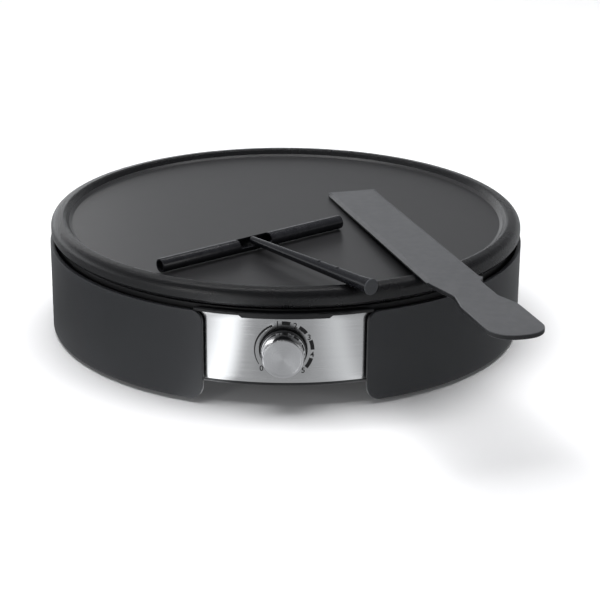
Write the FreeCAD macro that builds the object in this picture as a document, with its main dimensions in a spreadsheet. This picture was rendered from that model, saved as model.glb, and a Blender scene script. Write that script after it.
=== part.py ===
import FreeCAD, Part
import math
import os
import Sketcher

# Electric crepe maker with its batter spreader and spatula.
# The origin is on the plate's axis, at the worktop that the feet stand on.
# +Z is up and the dial faces -Y. Sizes are in millimetres and degrees.

SIZES = {
    # Roundings of corners and folds, from the finest to the widest
    "round_fine": 0.3,
    "round_slight": 0.4,
    "round_small": 0.5,
    "round_edge": 0.6,
    "round_mid": 0.8,
    "round_fold": 1.0,
    "round_soft": 1.2,
    "round_bend": 1.6,
    "round_wide": 2.0,
    "round_dish": 1.8,
    "round_crest": 2.5,
    "round_shoulder": 6.0,
    "round_neck": 9.0,
    "round_long": 30.0,
    # Griddle plate, cast aluminium
    "plate_radius": 165.0,
    "rim_width": 14.7,
    "cook_level": 76.0,
    "plate_web": 5.5,
    "step_width": 2.0,
    "step_height": 1.3,
    "crest_width": 2.3,
    "rim_height": 4.7,
    "rim_crest_drop": 0.6,
    "rim_round": 3.8,
    "rim_top_width": 7.4,
    "rim_face_bottom": 71.2,
    "rim_bottom": 68.7,
    "rim_tuck": 1.8,
    "rim_skirt_width": 5.0,
    "boss_ring_inset": 103.0,
    "boss_radius": 7.0,
    "boss_height": 7.0,
    "plate_hole_depth": 8.0,
    "rib_width": 2.5,
    "rib_depth": 2.4,
    # Heating element, a sheathed loop under the plate
    "element_inset": 61.0,
    "element_tube": 3.25,
    "element_sweep": 318.0,
    "element_gap": 0.3,
    "element_bend": 9.0,
    "element_drop": 6.0,
    "element_pin": 1.1,
    "element_pin_length": 7.0,
    "insulator_radius": 2.6,
    "insulator_length": 4.0,
    "terminal_width": 6.3,
    "terminal_length": 9.0,
    "blade_thickness": 0.8,
    # Heat shield and what holds the plate up
    "shield_level": 52.0,
    "shield_thickness": 0.8,
    "shield_slope_width": 14.0,
    "shield_inset": 10.0,
    "shield_rise": 5.0,
    "shield_element_hole": 9.0,
    "standoff_radius": 6.0,
    "screw_radius": 2.0,
    "screw_hole_gap": 0.35,
    "screw_head_radius": 3.8,
    "screw_head_height": 2.8,
    "screw_head_gap": 0.7,
    # Base housing, moulded bowl
    "plate_overhang": 5.0,
    "wall": 2.5,
    "housing_bottom": 13.0,
    "housing_top": 66.6,
    "housing_round": 4.0,
    "column_radius": 7.5,
    "column_seat": 30.0,
    "vent_ring_inset": 68.0,
    "vent_length": 26.0,
    "vent_width": 4.0,
    "vent_count": 24.0,
    # Visor over the front panel
    "lip_reach": 4.6,
    "lip_top": 65.6,
    "lip_bottom": 61.6,
    "lip_drop": 1.8,
    "lip_half_angle": 17.6,
    "lip_drop_left": 26.0,
    "lip_drop_right": 29.0,
    "lip_slant": 2.2,
    # Brushed steel front panel
    "panel_thickness": 0.7,
    "panel_bottom": 16.7,
    "panel_half_angle": 17.5,
    "panel_opening": 15.4,
    "panel_gap": 0.3,
    "tab_height": 7.0,
    "tab_length": 5.2,
    "tab_thickness": 0.7,
    "tab_edge": 1.4,
    "tab_slot_gap": 0.35,
    "tab_low": 24.0,
    "tab_high": 46.0,
    # Side shells
    "shell_stand": 3.1,
    "shell_wall": 2.7,
    "shell_bottom": 2.8,
    "shell_top": 63.7,
    "shell_edge_angle": 19.0,
    "shell_top_round": 7.5,
    "shell_bottom_round": 9.5,
    "shell_edge_round": 0.9,
    "shell_boss_radius": 5.0,
    "shell_boss_level": 38.0,
    "shell_boss_angle": 60.0,
    "shell_boss_gap": 0.3,
    "shell_screw_length": 5.4,
    "shell_screw_lift": 0.06,
    # Feet
    "foot_ring_inset": 35.0,
    "foot_radius": 9.0,
    "foot_stem_radius": 4.0,
    "foot_stem_gap": 0.3,
    "foot_screw_length": 11.0,
    "foot_pilot_end": 11.5,
    "foot_web": 2.0,
    "foot_boss_radius": 7.0,
    "foot_boss_height": 9.0,
    # Thermostat
    "dial_level": 39.0,
    "thermostat_width": 30.0,
    "thermostat_height": 24.0,
    "thermostat_depth": 16.0,
    "thermostat_setback": 20.0,
    "thermostat_neck_radius": 6.0,
    "thermostat_neck": 5.0,
    "bracket_thickness": 1.2,
    "bracket_width": 24.0,
    "bracket_foot": 11.5,
    "bracket_screw_place": 6.4,
    "bracket_screw_depth": 4.0,
    "spindle_radius": 3.0,
    "spindle_flat": 2.0,
    "spindle_reach": 8.6,
    "spindle_hole_radius": 4.5,
    # Control knob
    "knob_gap": 1.4,
    "knob_depth": 13.6,
    "collar_radius": 14.6,
    "collar_depth": 3.6,
    "collar_inset_depth": 1.5,
    "skirt_base_radius": 14.4,
    "skirt_front_radius": 13.3,
    "skirt_reach": 12.9,
    "core_radius": 11.6,
    "skirt_fit": 0.1,
    "disc_radius": 12.7,
    "disc_thickness": 1.1,
    "disc_fit": 0.1,
    "knob_bore_gap": 0.05,
    "pointer_width": 1.3,
    "pointer_proud": 0.35,
    "pointer_angle": -90.0,
    # Thermal fuse, terminal block and earth
    "fuse_radius": 2.0,
    "fuse_length": 14.0,
    "fuse_lead_radius": 0.6,
    "fuse_lead_length": 9.0,
    "fuse_clip_width": 8.0,
    "fuse_place": 40.0,
    "block_length": 34.0,
    "block_width": 18.0,
    "block_height": 15.0,
    "block_inset": 52.0,
    "block_ways": 3.0,
    "earth_inset": 81.0,
    # Cord inlet
    "gland_level": 34.0,
    "gland_radius": 10.0,
    "gland_flange": 2.5,
    "gland_bore": 3.8,
    "gland_neck_radius": 7.0,
    "gland_hole_gap": 0.3,
    "gland_inside": 9.0,
    # Batter spreader
    "head_radius": 4.7,
    "head_bore": 3.6,
    "head_length_cut": 0.3,
    "head_centre_x": -21.6,
    "head_inset": 76.7,
    "head_turn": 38.5,
    "notch_length": 26.0,
    "notch_cut": 0.9,
    "rest_gap": 0.3,
    "handle_length": 127.0,
    "handle_start_radius": 2.9,
    "handle_end_radius": 4.5,
    "handle_tilt": 0.3,
    "handle_overlap": 4.0,
    "handle_seat_gap": 0.1,
    "cap_radius": 4.8,
    "cap_thickness": 1.6,
    "cap_spigot_radius": 3.2,
    "cap_spigot": 6.0,
    # Spatula
    "blade_width": 37.0,
    "blade_length": 207.0,
    "blade_bevel": 3.0,
    "spatula_thickness": 3.0,
    "grip_width": 33.5,
    "grip_length": 68.0,
    "neck_length": 42.0,
    "grip_end_round": 15.0,
    "tip_round": 3.0,
    "tip_x": 47.8,
    "tip_y": 50.7,
    "blade_turn": -73.5,
    "blade_tilt": 1.6,
}

doc = FreeCAD.newDocument("crepe_maker")
sheet = doc.addObject("Spreadsheet::Sheet", "sizes")


class Size:
    """A length or angle that knows both its value and the expression that gives it."""

    def __init__(self, value, words):
        self.value = value
        self.words = words

    def join(self, other, sign, value, turned=False):
        other = as_size(other)
        first, second = (other, self) if turned else (self, other)
        return Size(value, f"({first.words} {sign} {second.words})")

    def __add__(self, other):
        return self.join(other, "+", self.value + as_size(other).value)

    def __radd__(self, other):
        return self.join(other, "+", self.value + as_size(other).value, True)

    def __sub__(self, other):
        return self.join(other, "-", self.value - as_size(other).value)

    def __rsub__(self, other):
        return self.join(other, "-", as_size(other).value - self.value, True)

    def __mul__(self, other):
        return self.join(other, "*", self.value * as_size(other).value)

    def __rmul__(self, other):
        return self.join(other, "*", self.value * as_size(other).value, True)

    def __truediv__(self, other):
        return self.join(other, "/", self.value / as_size(other).value)

    def __neg__(self):
        return self * -1


def as_size(number):
    return number if isinstance(number, Size) else Size(float(number), repr(float(number)))


def cosine(angle):
    return Size(math.cos(math.radians(angle.value)), f"cos({angle.words} * 1 deg)")


def sine(angle):
    return Size(math.sin(math.radians(angle.value)), f"sin({angle.words} * 1 deg)")


def write_sheet():
    for row, (name, value) in enumerate(SIZES.items(), start=1):
        cell = f"A{row}"
        sheet.set(cell, str(value))
        sheet.setAlias(cell, name)
    doc.recompute()
    return {name: Size(value, f"<<sizes>>.{name}") for name, value in SIZES.items()}


S = write_sheet()


class Sizes:
    """The sheet's cells, read as names."""

    def __getattr__(self, name):
        return S[name]


z = Sizes()

# What follows the plate's size and the housing under it
S["cook_radius"] = z.plate_radius - z.rim_width
S["boss_ring_radius"] = z.plate_radius - z.boss_ring_inset
S["element_radius"] = z.plate_radius - z.element_inset
S["earth_place"] = z.plate_radius - z.earth_inset
S["housing_radius"] = z.plate_radius - z.plate_overhang
S["shield_radius"] = z.housing_radius - z.shield_inset
S["shield_flat_radius"] = z.shield_radius - z.shield_slope_width
S["vent_ring_radius"] = z.housing_radius - z.vent_ring_inset
S["foot_ring_radius"] = z.housing_radius - z.foot_ring_inset
S["block_place"] = z.housing_radius - z.block_inset
S["lip_radius"] = z.housing_radius + z.lip_reach
S["panel_radius"] = z.housing_radius + z.panel_gap + z.panel_thickness
S["shell_radius"] = z.housing_radius + z.shell_stand + z.shell_wall
S["thermostat_front"] = z.housing_radius - z.thermostat_setback
S["knob_back"] = z.panel_radius + z.knob_gap
S["knob_face"] = z.knob_back + z.knob_depth
S["skirt_front"] = z.knob_back + z.skirt_reach
S["spindle_end"] = z.knob_back + z.spindle_reach
S["head_length"] = z.cook_radius - z.head_length_cut
S["head_centre_y"] = z.head_inset - z.cook_radius


def bind(thing, prop, amount):
    amount = as_size(amount)
    setattr(thing, prop, amount.value)
    thing.setExpression(prop, amount.words)


def place(thing, x=0, y=0, up=0, turn=None, axis=(0, 0, 1)):
    """Puts a sub-part at its place, turned by an angle about an axis through it."""
    thing.Placement = FreeCAD.Placement(
        FreeCAD.Vector(0, 0, 0),
        FreeCAD.Rotation(FreeCAD.Vector(*axis), as_size(turn or 0).value),
    )
    for letter, amount in zip("xyz", (x, y, up)):
        amount = as_size(amount)
        thing.setExpression(f".Placement.Base.{letter}", amount.words)
    if isinstance(turn, Size):
        thing.setExpression(".Placement.Rotation.Angle", f"{turn.words} * 1 deg")


def new_body(name):
    body = doc.addObject("PartDesign::Body", name)
    body.Label = name
    return body


def new_sketch(body, name, plane, offset=None):
    sketch = body.newObject("Sketcher::SketchObject", name)
    support = [f for f in body.Origin.OriginFeatures if f.Role == plane]
    sketch.AttachmentSupport = [(support[0], "")]
    sketch.MapMode = "FlatFace"
    if offset is not None:
        sketch.setExpression(".AttachmentOffset.Base.z", as_size(offset).words)
    return sketch


def fix_point(sketch, item, end, across, up):
    for kind, amount in (("DistanceX", across), ("DistanceY", up)):
        amount = as_size(amount)
        index = sketch.addConstraint(Sketcher.Constraint(kind, -1, 1, item, end, amount.value))
        sketch.setExpression(f"Constraints[{index}]", amount.words)


def fix_radius(sketch, item, radius):
    index = sketch.addConstraint(Sketcher.Constraint("Radius", item, as_size(radius).value))
    sketch.setExpression(f"Constraints[{index}]", as_size(radius).words)


def towards(start, end):
    run = (end[0] - start[0], end[1] - start[1])
    length = math.hypot(*run)
    return run[0] / length, run[1] / length


def corner_arc(before, corner, after, radius):
    """Where a rounded corner starts, its centre and where it ends."""
    back = towards(corner, before)
    ahead = towards(corner, after)
    half = math.acos(max(-1.0, min(1.0, back[0] * ahead[0] + back[1] * ahead[1]))) / 2
    reach = radius / math.tan(half)
    middle = towards((0, 0), (back[0] + ahead[0], back[1] + ahead[1]))
    depth = radius / math.sin(half)
    start = (corner[0] + back[0] * reach, corner[1] + back[1] * reach)
    centre = (corner[0] + middle[0] * depth, corner[1] + middle[1] * depth)
    end = (corner[0] + ahead[0] * reach, corner[1] + ahead[1] * reach)
    return start, centre, end


def draw_arc(sketch, start, centre, end, radius):
    """Adds the short arc between two points and says which of its ends is the start."""
    first = math.atan2(start[1] - centre[1], start[0] - centre[0])
    last = math.atan2(end[1] - centre[1], end[0] - centre[0])
    forward = (last - first) % (2 * math.pi) < math.pi
    low, high = (first, last) if forward else (last, first)
    if high < low:
        high += 2 * math.pi
    ring = Part.Circle(flat(centre), FreeCAD.Vector(0, 0, 1), radius)
    item = sketch.addGeometry(Part.ArcOfCircle(ring, low, high), False)
    return item, 1 if forward else 2


def flat(point):
    return FreeCAD.Vector(point[0], point[1], 0)


def outline(sketch, corners):
    """A closed outline through corners (across, up), each with an optional radius."""
    places = [(as_size(c[0]).value, as_size(c[1]).value) for c in corners]
    radii = [c[2] if len(c) > 2 else None for c in corners]
    count = len(corners)
    arcs = []
    for i, radius in enumerate(radii):
        if radius is None:
            arcs.append((places[i], None, places[i]))
        else:
            ring = (places[i - 1], places[i], places[(i + 1) % count])
            arcs.append(corner_arc(*ring, as_size(radius).value))
    lines = []
    for i in range(count):
        edge = Part.LineSegment(flat(arcs[i][2]), flat(arcs[(i + 1) % count][0]))
        lines.append(sketch.addGeometry(edge, False))
    for i, radius in enumerate(radii):
        before, after = lines[i - 1], lines[i]
        if radius is None:
            sketch.addConstraint(Sketcher.Constraint("Coincident", before, 2, after, 1))
            fix_point(sketch, after, 1, corners[i][0], corners[i][1])
            continue
        item, first = draw_arc(sketch, *arcs[i], as_size(radius).value)
        sketch.addConstraint(Sketcher.Constraint("Tangent", before, 2, item, first))
        sketch.addConstraint(Sketcher.Constraint("Tangent", item, 3 - first, after, 1))
        point = sketch.addGeometry(Part.Point(flat(places[i])), True)
        sketch.addConstraint(Sketcher.Constraint("PointOnObject", point, 1, before))
        sketch.addConstraint(Sketcher.Constraint("PointOnObject", point, 1, after))
        fix_radius(sketch, item, radius)
        fix_point(sketch, point, 1, corners[i][0], corners[i][1])


def circle(sketch, across, up, radius):
    middle = flat((as_size(across).value, as_size(up).value))
    item = sketch.addGeometry(
        Part.Circle(middle, FreeCAD.Vector(0, 0, 1), as_size(radius).value), False
    )
    fix_radius(sketch, item, radius)
    fix_point(sketch, item, 3, across, up)


def box_outline(sketch, left, right, low, high, radius=None):
    ends = [(left, low), (right, low), (right, high), (left, high)]
    outline(sketch, [c if radius is None else (*c, radius) for c in ends])


def revolve(body, name, corners, angle=None, cut=False, axis="V_Axis"):
    """Turns a half section in the XZ plane about Z, whole or centred on +X."""
    sketch = new_sketch(body, f"{name}_section", "XZ_Plane")
    outline(sketch, corners)
    feature = body.newObject("PartDesign::Groove" if cut else "PartDesign::Revolution", name)
    feature.Profile = sketch
    feature.ReferenceAxis = (sketch, [axis])
    if angle is None:
        feature.Angle = 360
    else:
        feature.Midplane = True
        bind(feature, "Angle", angle)
    body.Tip = feature
    return feature


def pad(body, name, plane, draw, length, offset=None, middle=False, back=False):
    sketch = new_sketch(body, f"{name}_outline", plane, offset)
    draw(sketch)
    feature = body.newObject("PartDesign::Pad", name)
    feature.Profile = sketch
    bind(feature, "Length", length)
    if middle:
        feature.SideType = "Symmetric"
    feature.Reversed = back
    body.Tip = feature
    return feature


def pocket(body, name, plane, draw, length=None, offset=None, middle=False, back=False):
    sketch = new_sketch(body, f"{name}_outline", plane, offset)
    draw(sketch)
    feature = body.newObject("PartDesign::Pocket", name)
    feature.Profile = sketch
    if length is None:
        feature.Type = "ThroughAll"
    else:
        bind(feature, "Length", length)
    if middle:
        feature.SideType = "Symmetric"
    feature.Reversed = back
    body.Tip = feature
    return feature


def ring_copies(body, name, feature, count):
    """Repeats a feature evenly about Z."""
    pattern = body.newObject("PartDesign::PolarPattern", name)
    pattern.Originals = [feature]
    axis = [f for f in body.Origin.OriginFeatures if f.Role == "Z_Axis"]
    pattern.Axis = (axis[0], [""])
    pattern.Angle = 360
    pattern.Occurrences = int(as_size(count).value)
    pattern.setExpression("Occurrences", as_size(count).words)
    body.Tip = pattern
    return pattern


def soften(body, name, radius, chosen):
    """Rounds the edges of the body's last feature that a test chooses."""
    doc.recompute()
    base = body.Tip
    edges = [f"Edge{i}" for i, e in enumerate(base.Shape.Edges, start=1) if chosen(e)]
    feature = body.newObject("PartDesign::Fillet", name)
    feature.Base = (base, edges)
    bind(feature, "Radius", radius)
    body.Tip = feature
    return feature


def cylinder(name, radius, height):
    tube = doc.addObject("Part::Cylinder", name)
    tube.Label = name
    bind(tube, "Radius", radius)
    bind(tube, "Height", height)
    return tube


def joined(name, parts):
    fused = doc.addObject("Part::MultiFuse", name)
    fused.Label = name
    fused.Shapes = parts
    return fused


def group(name, parts):
    """Several solids of one kind that share a node."""
    several = doc.addObject("Part::Compound", name)
    several.Label = name
    several.Links = parts
    return several


PARTS = []


def keep(thing):
    PARTS.append(thing)
    return thing


CORNER_TURNS = (45, 135, 225, 315)


def around(radius, degrees):
    angle = math.radians(degrees)
    return radius * math.cos(angle), radius * math.sin(angle)


# Griddle plate


def griddle_plate():
    body = new_body("griddle_plate")
    under = z.cook_level - z.plate_web
    step = z.cook_radius + z.step_width
    crest = step + z.crest_width
    rim_top = z.cook_level + z.rim_height
    tuck = z.plate_radius - z.rim_tuck
    skirt = tuck - z.rim_skirt_width
    revolve(body, "casting", [
        (0, under),
        (skirt, under, z.round_mid),
        (skirt, z.rim_bottom, z.round_edge),
        (tuck, z.rim_bottom, z.round_edge),
        (z.plate_radius, z.rim_face_bottom, z.round_soft),
        (z.plate_radius, rim_top - z.rim_crest_drop, z.rim_round),
        (z.plate_radius - z.rim_top_width, rim_top, z.round_crest),
        (crest, rim_top - z.rim_crest_drop, z.round_soft),
        (step, z.cook_level + z.step_height, z.round_mid),
        (z.cook_radius, z.cook_level, z.round_mid),
        (0, z.cook_level),
    ])

    def boss(sketch):
        circle(sketch, z.boss_ring_radius, 0, z.boss_radius)

    first = pad(body, "boss", "XY_Plane", boss, z.boss_height, under, back=True)
    turned(body, first)
    element_channel(body, under)

    def hole(sketch):
        circle(sketch, z.boss_ring_radius, 0, z.screw_radius)

    tapped = pocket(
        body, "screw_hole", "XY_Plane", hole, z.plate_hole_depth, under - z.boss_height, back=True
    )
    turned(body, tapped)
    bracket_pilot(body, under)
    place(body, turn=45)
    return keep(body)


def bracket_pilot(body, under):
    """The blind hole for the thermostat bracket's screw, in the casting's own turn."""
    reach = bracket_screw_reach() * cosine(as_size(45))

    def hole(sketch):
        circle(sketch, -reach, -reach, z.screw_radius)

    pocket(body, "bracket_pilot", "XY_Plane", hole, z.bracket_screw_depth, under, back=True)


def bracket_screw_reach():
    """How far the bracket's screw is from the plate's axis."""
    return z.thermostat_front - z.thermostat_depth - z.bracket_screw_place


def turned(body, feature):
    """Four copies of a feature, a quarter turn apart."""
    pattern = ring_copies(body, f"{feature.Name}_ring", feature, 4)
    doc.recompute()
    return pattern


def element_channel(body, under):
    """The two cast ribs that hold the heating loop between them."""
    inside = z.element_radius - z.element_tube - z.element_gap
    outside = z.element_radius + z.element_tube + z.element_gap
    low = under - z.rib_depth
    for name, near, far in (
        ("inner_rib", inside - z.rib_width, inside),
        ("outer_rib", outside, outside + z.rib_width),
    ):
        revolve(body, name, [
            (near, low, z.round_small),
            (far, low, z.round_small),
            (far, under + 0.5),
            (near, under + 0.5),
        ])


# Heating element


def element_level():
    return z.cook_level - z.plate_web - z.element_gap - z.element_tube


def element_end_angle(side):
    return (360 - z.element_sweep) * 0.5 * side - 90


def element_end(side):
    """The loop's end on one side of the dial, at the middle of its tube."""
    angle = element_end_angle(side)
    return z.element_radius * cosine(angle), z.element_radius * sine(angle), angle


def heating_element():
    loop = doc.addObject("Part::Torus", "element_loop")
    bind(loop, "Radius1", z.element_radius)
    bind(loop, "Radius2", z.element_tube)
    bind(loop, "Angle3", z.element_sweep)
    place(loop, up=element_level(), turn=element_end_angle(1))
    parts = [loop]
    for name, side in (("right", 1), ("left", -1)):
        x, y, angle = element_end(side)
        bend = doc.addObject("Part::Torus", f"element_bend_{name}")
        bind(bend, "Radius1", z.element_bend)
        bind(bend, "Radius2", z.element_tube)
        bend.Angle3 = 90
        drop = cylinder(f"element_leg_{name}", z.element_tube, z.element_drop)
        level = element_level() - z.element_bend
        upright = FreeCAD.Rotation(FreeCAD.Vector(1, 0, 0), 90)
        spin = FreeCAD.Rotation(FreeCAD.Vector(0, 0, 1), angle.value - 90 * side)
        bend.Placement = FreeCAD.Placement(
            FreeCAD.Vector(x.value, y.value, level.value), spin.multiply(upright)
        )
        bend.setExpression(".Placement.Base.x", x.words)
        bend.setExpression(".Placement.Base.y", y.words)
        bend.setExpression(".Placement.Base.z", level.words)
        leg_x, leg_y = element_leg(side)
        place(drop, leg_x, leg_y, level - z.element_drop)
        parts += [bend, drop]
    return keep(joined("heating_element", parts))


def element_leg(side):
    """The middle of the leg that drops from one end of the loop."""
    x, y, angle = element_end(side)
    away = angle - 90 * side
    return x + z.element_bend * cosine(away), y + z.element_bend * sine(away)


def element_leg_bottom():
    return element_level() - z.element_bend - z.element_drop


def element_fittings():
    """Ceramic bead, pin and push-on blade below each leg of the loop."""
    bottom = element_leg_bottom()
    for name, side in (("right", 1), ("left", -1)):
        x, y = element_leg(side)
        bead = new_body(f"element_insulator_{name}")
        bead_low = bottom - z.insulator_length
        revolve(bead, "bead", [
            (z.element_pin + 0.1, bead_low, z.round_fine),
            (z.insulator_radius, bead_low, z.round_slight),
            (z.insulator_radius, bottom),
            (z.element_pin + 0.1, bottom),
        ])
        place(bead, x, y)
        keep(bead)
        blade = new_body(f"element_terminal_{name}")

        def pin(sketch):
            circle(sketch, 0, 0, z.element_pin)

        pad(blade, "pin", "XY_Plane", pin, z.element_pin_length, bottom - z.element_pin_length)
        half = z.terminal_width / 2
        blade_top = bottom - z.insulator_length - 0.6

        def tongue(sketch):
            box_outline(sketch, -half, half, blade_top - z.terminal_length, blade_top, z.round_mid)

        pad(blade, "tongue", "XZ_Plane", tongue, z.blade_thickness, middle=True)
        place(blade, x, y)
        keep(blade)


# Heat shield, standoffs and plate screws


def heat_shield():
    body = new_body("heat_shield")
    low = z.shield_level
    high = low + z.shield_thickness
    rise = low + z.shield_rise
    flat_end = z.shield_flat_radius
    lean = z.shield_rise
    revolve(body, "dish", [
        (0, low),
        (flat_end, low, z.round_bend),
        (flat_end + lean, rise, z.round_fold),
        (z.shield_radius, rise),
        (z.shield_radius, rise + z.shield_thickness),
        (flat_end + lean - z.shield_thickness / 2, rise + z.shield_thickness, z.round_dish),
        (flat_end - z.shield_thickness / 2, high, z.round_mid),
        (0, high),
    ])

    def holes(sketch):
        across = z.boss_ring_radius * cosine(as_size(45))
        for x in (-across, across):
            for y in (-across, across):
                circle(sketch, x, y, z.screw_radius + z.screw_hole_gap)
        for side in (1, -1):
            x, y = element_leg(side)
            circle(sketch, x, y, z.shield_element_hole)
        circle(sketch, 0, z.earth_place, z.screw_radius + z.screw_hole_gap)

    pocket(body, "screw_and_element_holes", "XY_Plane", holes, z.shield_rise * 2, low + 5)

    def window(sketch):
        half = z.bracket_width / 2 + 2
        near = -(z.thermostat_front - z.thermostat_depth - z.bracket_thickness)
        box_outline(sketch, -half, half, near - 3, near + z.bracket_foot + 6, z.round_wide)

    pocket(body, "bracket_window", "XY_Plane", window, z.shield_rise * 2, low + 5)
    return keep(body)


def plate_mounting():
    """A steel spacer and a long screw at each of the plate's four bosses."""
    boss_low = z.cook_level - z.plate_web - z.boss_height
    shield_top = z.shield_level + z.shield_thickness
    screws = []
    for number, degrees in enumerate(CORNER_TURNS, start=1):
        x, y = around(z.boss_ring_radius, degrees)
        spacer = new_body(f"plate_standoff_{number}")
        revolve(spacer, "tube", [
            (z.screw_radius + z.screw_hole_gap, shield_top),
            (z.standoff_radius, shield_top, z.round_small),
            (z.standoff_radius, boss_low, z.round_small),
            (z.screw_radius + z.screw_hole_gap, boss_low),
        ])
        place(spacer, x, y)
        keep(spacer)
        screw = pan_screw(
            f"plate_screw_{number}", boss_low + z.plate_hole_depth - 1.0 - z.column_seat
        )
        place(screw, x, y, z.column_seat)
        screws.append(screw)
    return keep(group("plate_screws", screws))


def pan_screw(name, length):
    """A cross-head screw, its shank up along Z from the seat at its origin."""
    body = new_body(name)
    shank = z.screw_radius - 0.15
    revolve(body, "turned", [
        (0, -z.screw_head_height),
        (z.screw_head_radius, -z.screw_head_height, z.round_soft),
        (z.screw_head_radius, 0),
        (shank, 0),
        (shank, length - 0.8),
        (shank - 0.8, length),
        (0, length),
    ])
    slot = z.screw_head_radius * 0.6

    def cross(sketch):
        arm = 0.45
        outline(sketch, [
            (-slot, -arm), (-arm, -arm), (-arm, -slot), (arm, -slot),
            (arm, -arm), (slot, -arm), (slot, arm), (arm, arm),
            (arm, slot), (-arm, slot), (-arm, arm), (-slot, arm),
        ])

    pocket(body, "cross", "XY_Plane", cross, 1.3, -z.screw_head_height, back=True)
    return body


# Base housing


def base_housing():
    body = new_body("base_housing")
    visor(body)
    bowl(body)
    columns(body)
    housing_holes(body)
    vents(body)
    place(body)
    return keep(body)


def visor(body):
    """The lip over the front panel, whose middle hangs lower between two slants."""
    inner = z.housing_radius - z.wall / 2
    low = z.lip_bottom - z.lip_drop
    section = new_sketch(body, "visor_section", "YZ_Plane")
    outline(section, [
        (-z.lip_radius, low, z.round_small),
        (-inner, low),
        (-inner, z.lip_top),
        (-z.lip_radius, z.lip_top, z.round_soft),
    ])
    lip = body.newObject("PartDesign::Revolution", "visor")
    lip.Profile = section
    lip.ReferenceAxis = (section, ["V_Axis"])
    lip.Midplane = True
    bind(lip, "Angle", z.lip_half_angle * 2)
    body.Tip = lip

    def raised(sketch):
        far = z.lip_radius
        for side, edge in ((-1, z.lip_drop_left), (1, z.lip_drop_right)):
            inner_low = edge * side
            inner_high = (edge + z.lip_slant) * side
            outline(sketch, [
                (inner_low, low - 1),
                (inner_low, low),
                (inner_high, z.lip_bottom),
                (far * side * 0.4, z.lip_bottom),
                (far * side * 0.4, low - 1),
            ])

    pocket(body, "visor_steps", "XZ_Plane", raised, back=True)


def bowl(body):
    inner = z.housing_radius - z.wall
    floor_top = z.housing_bottom + z.wall
    revolve(body, "bowl", [
        (0, z.housing_bottom),
        (z.housing_radius, z.housing_bottom, z.housing_round),
        (z.housing_radius, z.housing_top, z.round_edge),
        (inner, z.housing_top, z.round_edge),
        (inner, floor_top, z.housing_round - z.wall + 0.5),
        (0, floor_top),
    ])


def columns(body):
    """Screw columns up to the heat shield and bosses over the feet."""
    across = z.boss_ring_radius * cosine(as_size(45))
    foot = z.foot_ring_radius * cosine(as_size(45))

    def tall(sketch):
        for x in (-across, across):
            for y in (-across, across):
                circle(sketch, x, y, z.column_radius)

    def short(sketch):
        for x in (-foot, foot):
            for y in (-foot, foot):
                circle(sketch, x, y, z.foot_boss_radius)

    floor_mid = z.housing_bottom + z.wall / 2
    pad(body, "columns", "XY_Plane", tall, z.shield_level - floor_mid, floor_mid)
    pad(body, "foot_bosses", "XY_Plane", short, z.foot_boss_height + z.wall / 2, floor_mid)

    def shafts(sketch):
        for x in (-across, across):
            for y in (-across, across):
                circle(sketch, x, y, z.screw_radius + z.screw_hole_gap)

    def wells(sketch):
        for x in (-across, across):
            for y in (-across, across):
                circle(sketch, x, y, z.screw_head_radius + z.screw_head_gap)

    def stems(sketch):
        for x in (-foot, foot):
            for y in (-foot, foot):
                circle(sketch, x, y, z.foot_stem_radius + z.foot_stem_gap)

    def webs(sketch):
        for x in (-foot, foot):
            for y in (-foot, foot):
                circle(sketch, x, y, z.screw_radius + z.screw_hole_gap)

    pocket(body, "column_shafts", "XY_Plane", shafts, z.shield_level, 0, back=True)
    pocket(body, "column_wells", "XY_Plane", wells, z.column_seat, 0, back=True)
    depth = z.wall + z.foot_boss_height
    stem_room = depth - z.foot_web
    pocket(body, "stem_wells", "XY_Plane", stems, stem_room, z.housing_bottom, back=True)
    pocket(body, "foot_screw_holes", "XY_Plane", webs, depth, z.housing_bottom, back=True)


def housing_holes(body):
    """Openings in the wall for the spindle, the cord inlet, shell screws and panel tabs."""

    def spindle(sketch):
        circle(sketch, 0, z.dial_level, z.spindle_hole_radius)

    def inlet(sketch):
        circle(sketch, 0, z.gland_level, z.gland_neck_radius + z.gland_hole_gap)

    pocket(body, "spindle_hole", "XZ_Plane", spindle, z.housing_radius + 20, back=True)
    pocket(body, "inlet_hole", "XZ_Plane", inlet, z.housing_radius + 20)

    def slots(sketch):
        gap = z.tab_slot_gap
        for side in (-1, 1):
            middle = tab_reach() * side
            half = z.tab_thickness / 2 + gap
            for low in (z.tab_low, z.tab_high):
                box_outline(
                    sketch, middle - half, middle + half, low - gap, low + z.tab_height + gap
                )

    start = z.housing_radius - z.tab_length * 3
    pocket(body, "tab_slots", "XZ_Plane", slots, z.tab_length * 3, start, back=True)

    def shell_screw(sketch):
        circle(sketch, 0, z.shell_boss_level, z.screw_radius + z.screw_hole_gap)

    start = z.housing_radius - z.wall * 2
    hole = pocket(
        body, "shell_screw_hole", "YZ_Plane", shell_screw, z.wall * 3, start, back=True
    )
    ring_copies(body, "shell_screw_holes", hole, as_size(360) / z.shell_boss_angle)


def vents(body):
    """A ring of radial air slots in the floor."""
    near = z.vent_ring_radius - z.vent_length / 2
    far = z.vent_ring_radius + z.vent_length / 2
    half = z.vent_width / 2

    def slot(sketch):
        box_outline(sketch, near, far, -half, half, z.vent_width * 0.45)

    first = pocket(body, "vent", "XY_Plane", slot, z.wall * 2, z.housing_bottom - 1, back=True)
    ring_copies(body, "vent_ring", first, z.vent_count)


# Front panel


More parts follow.
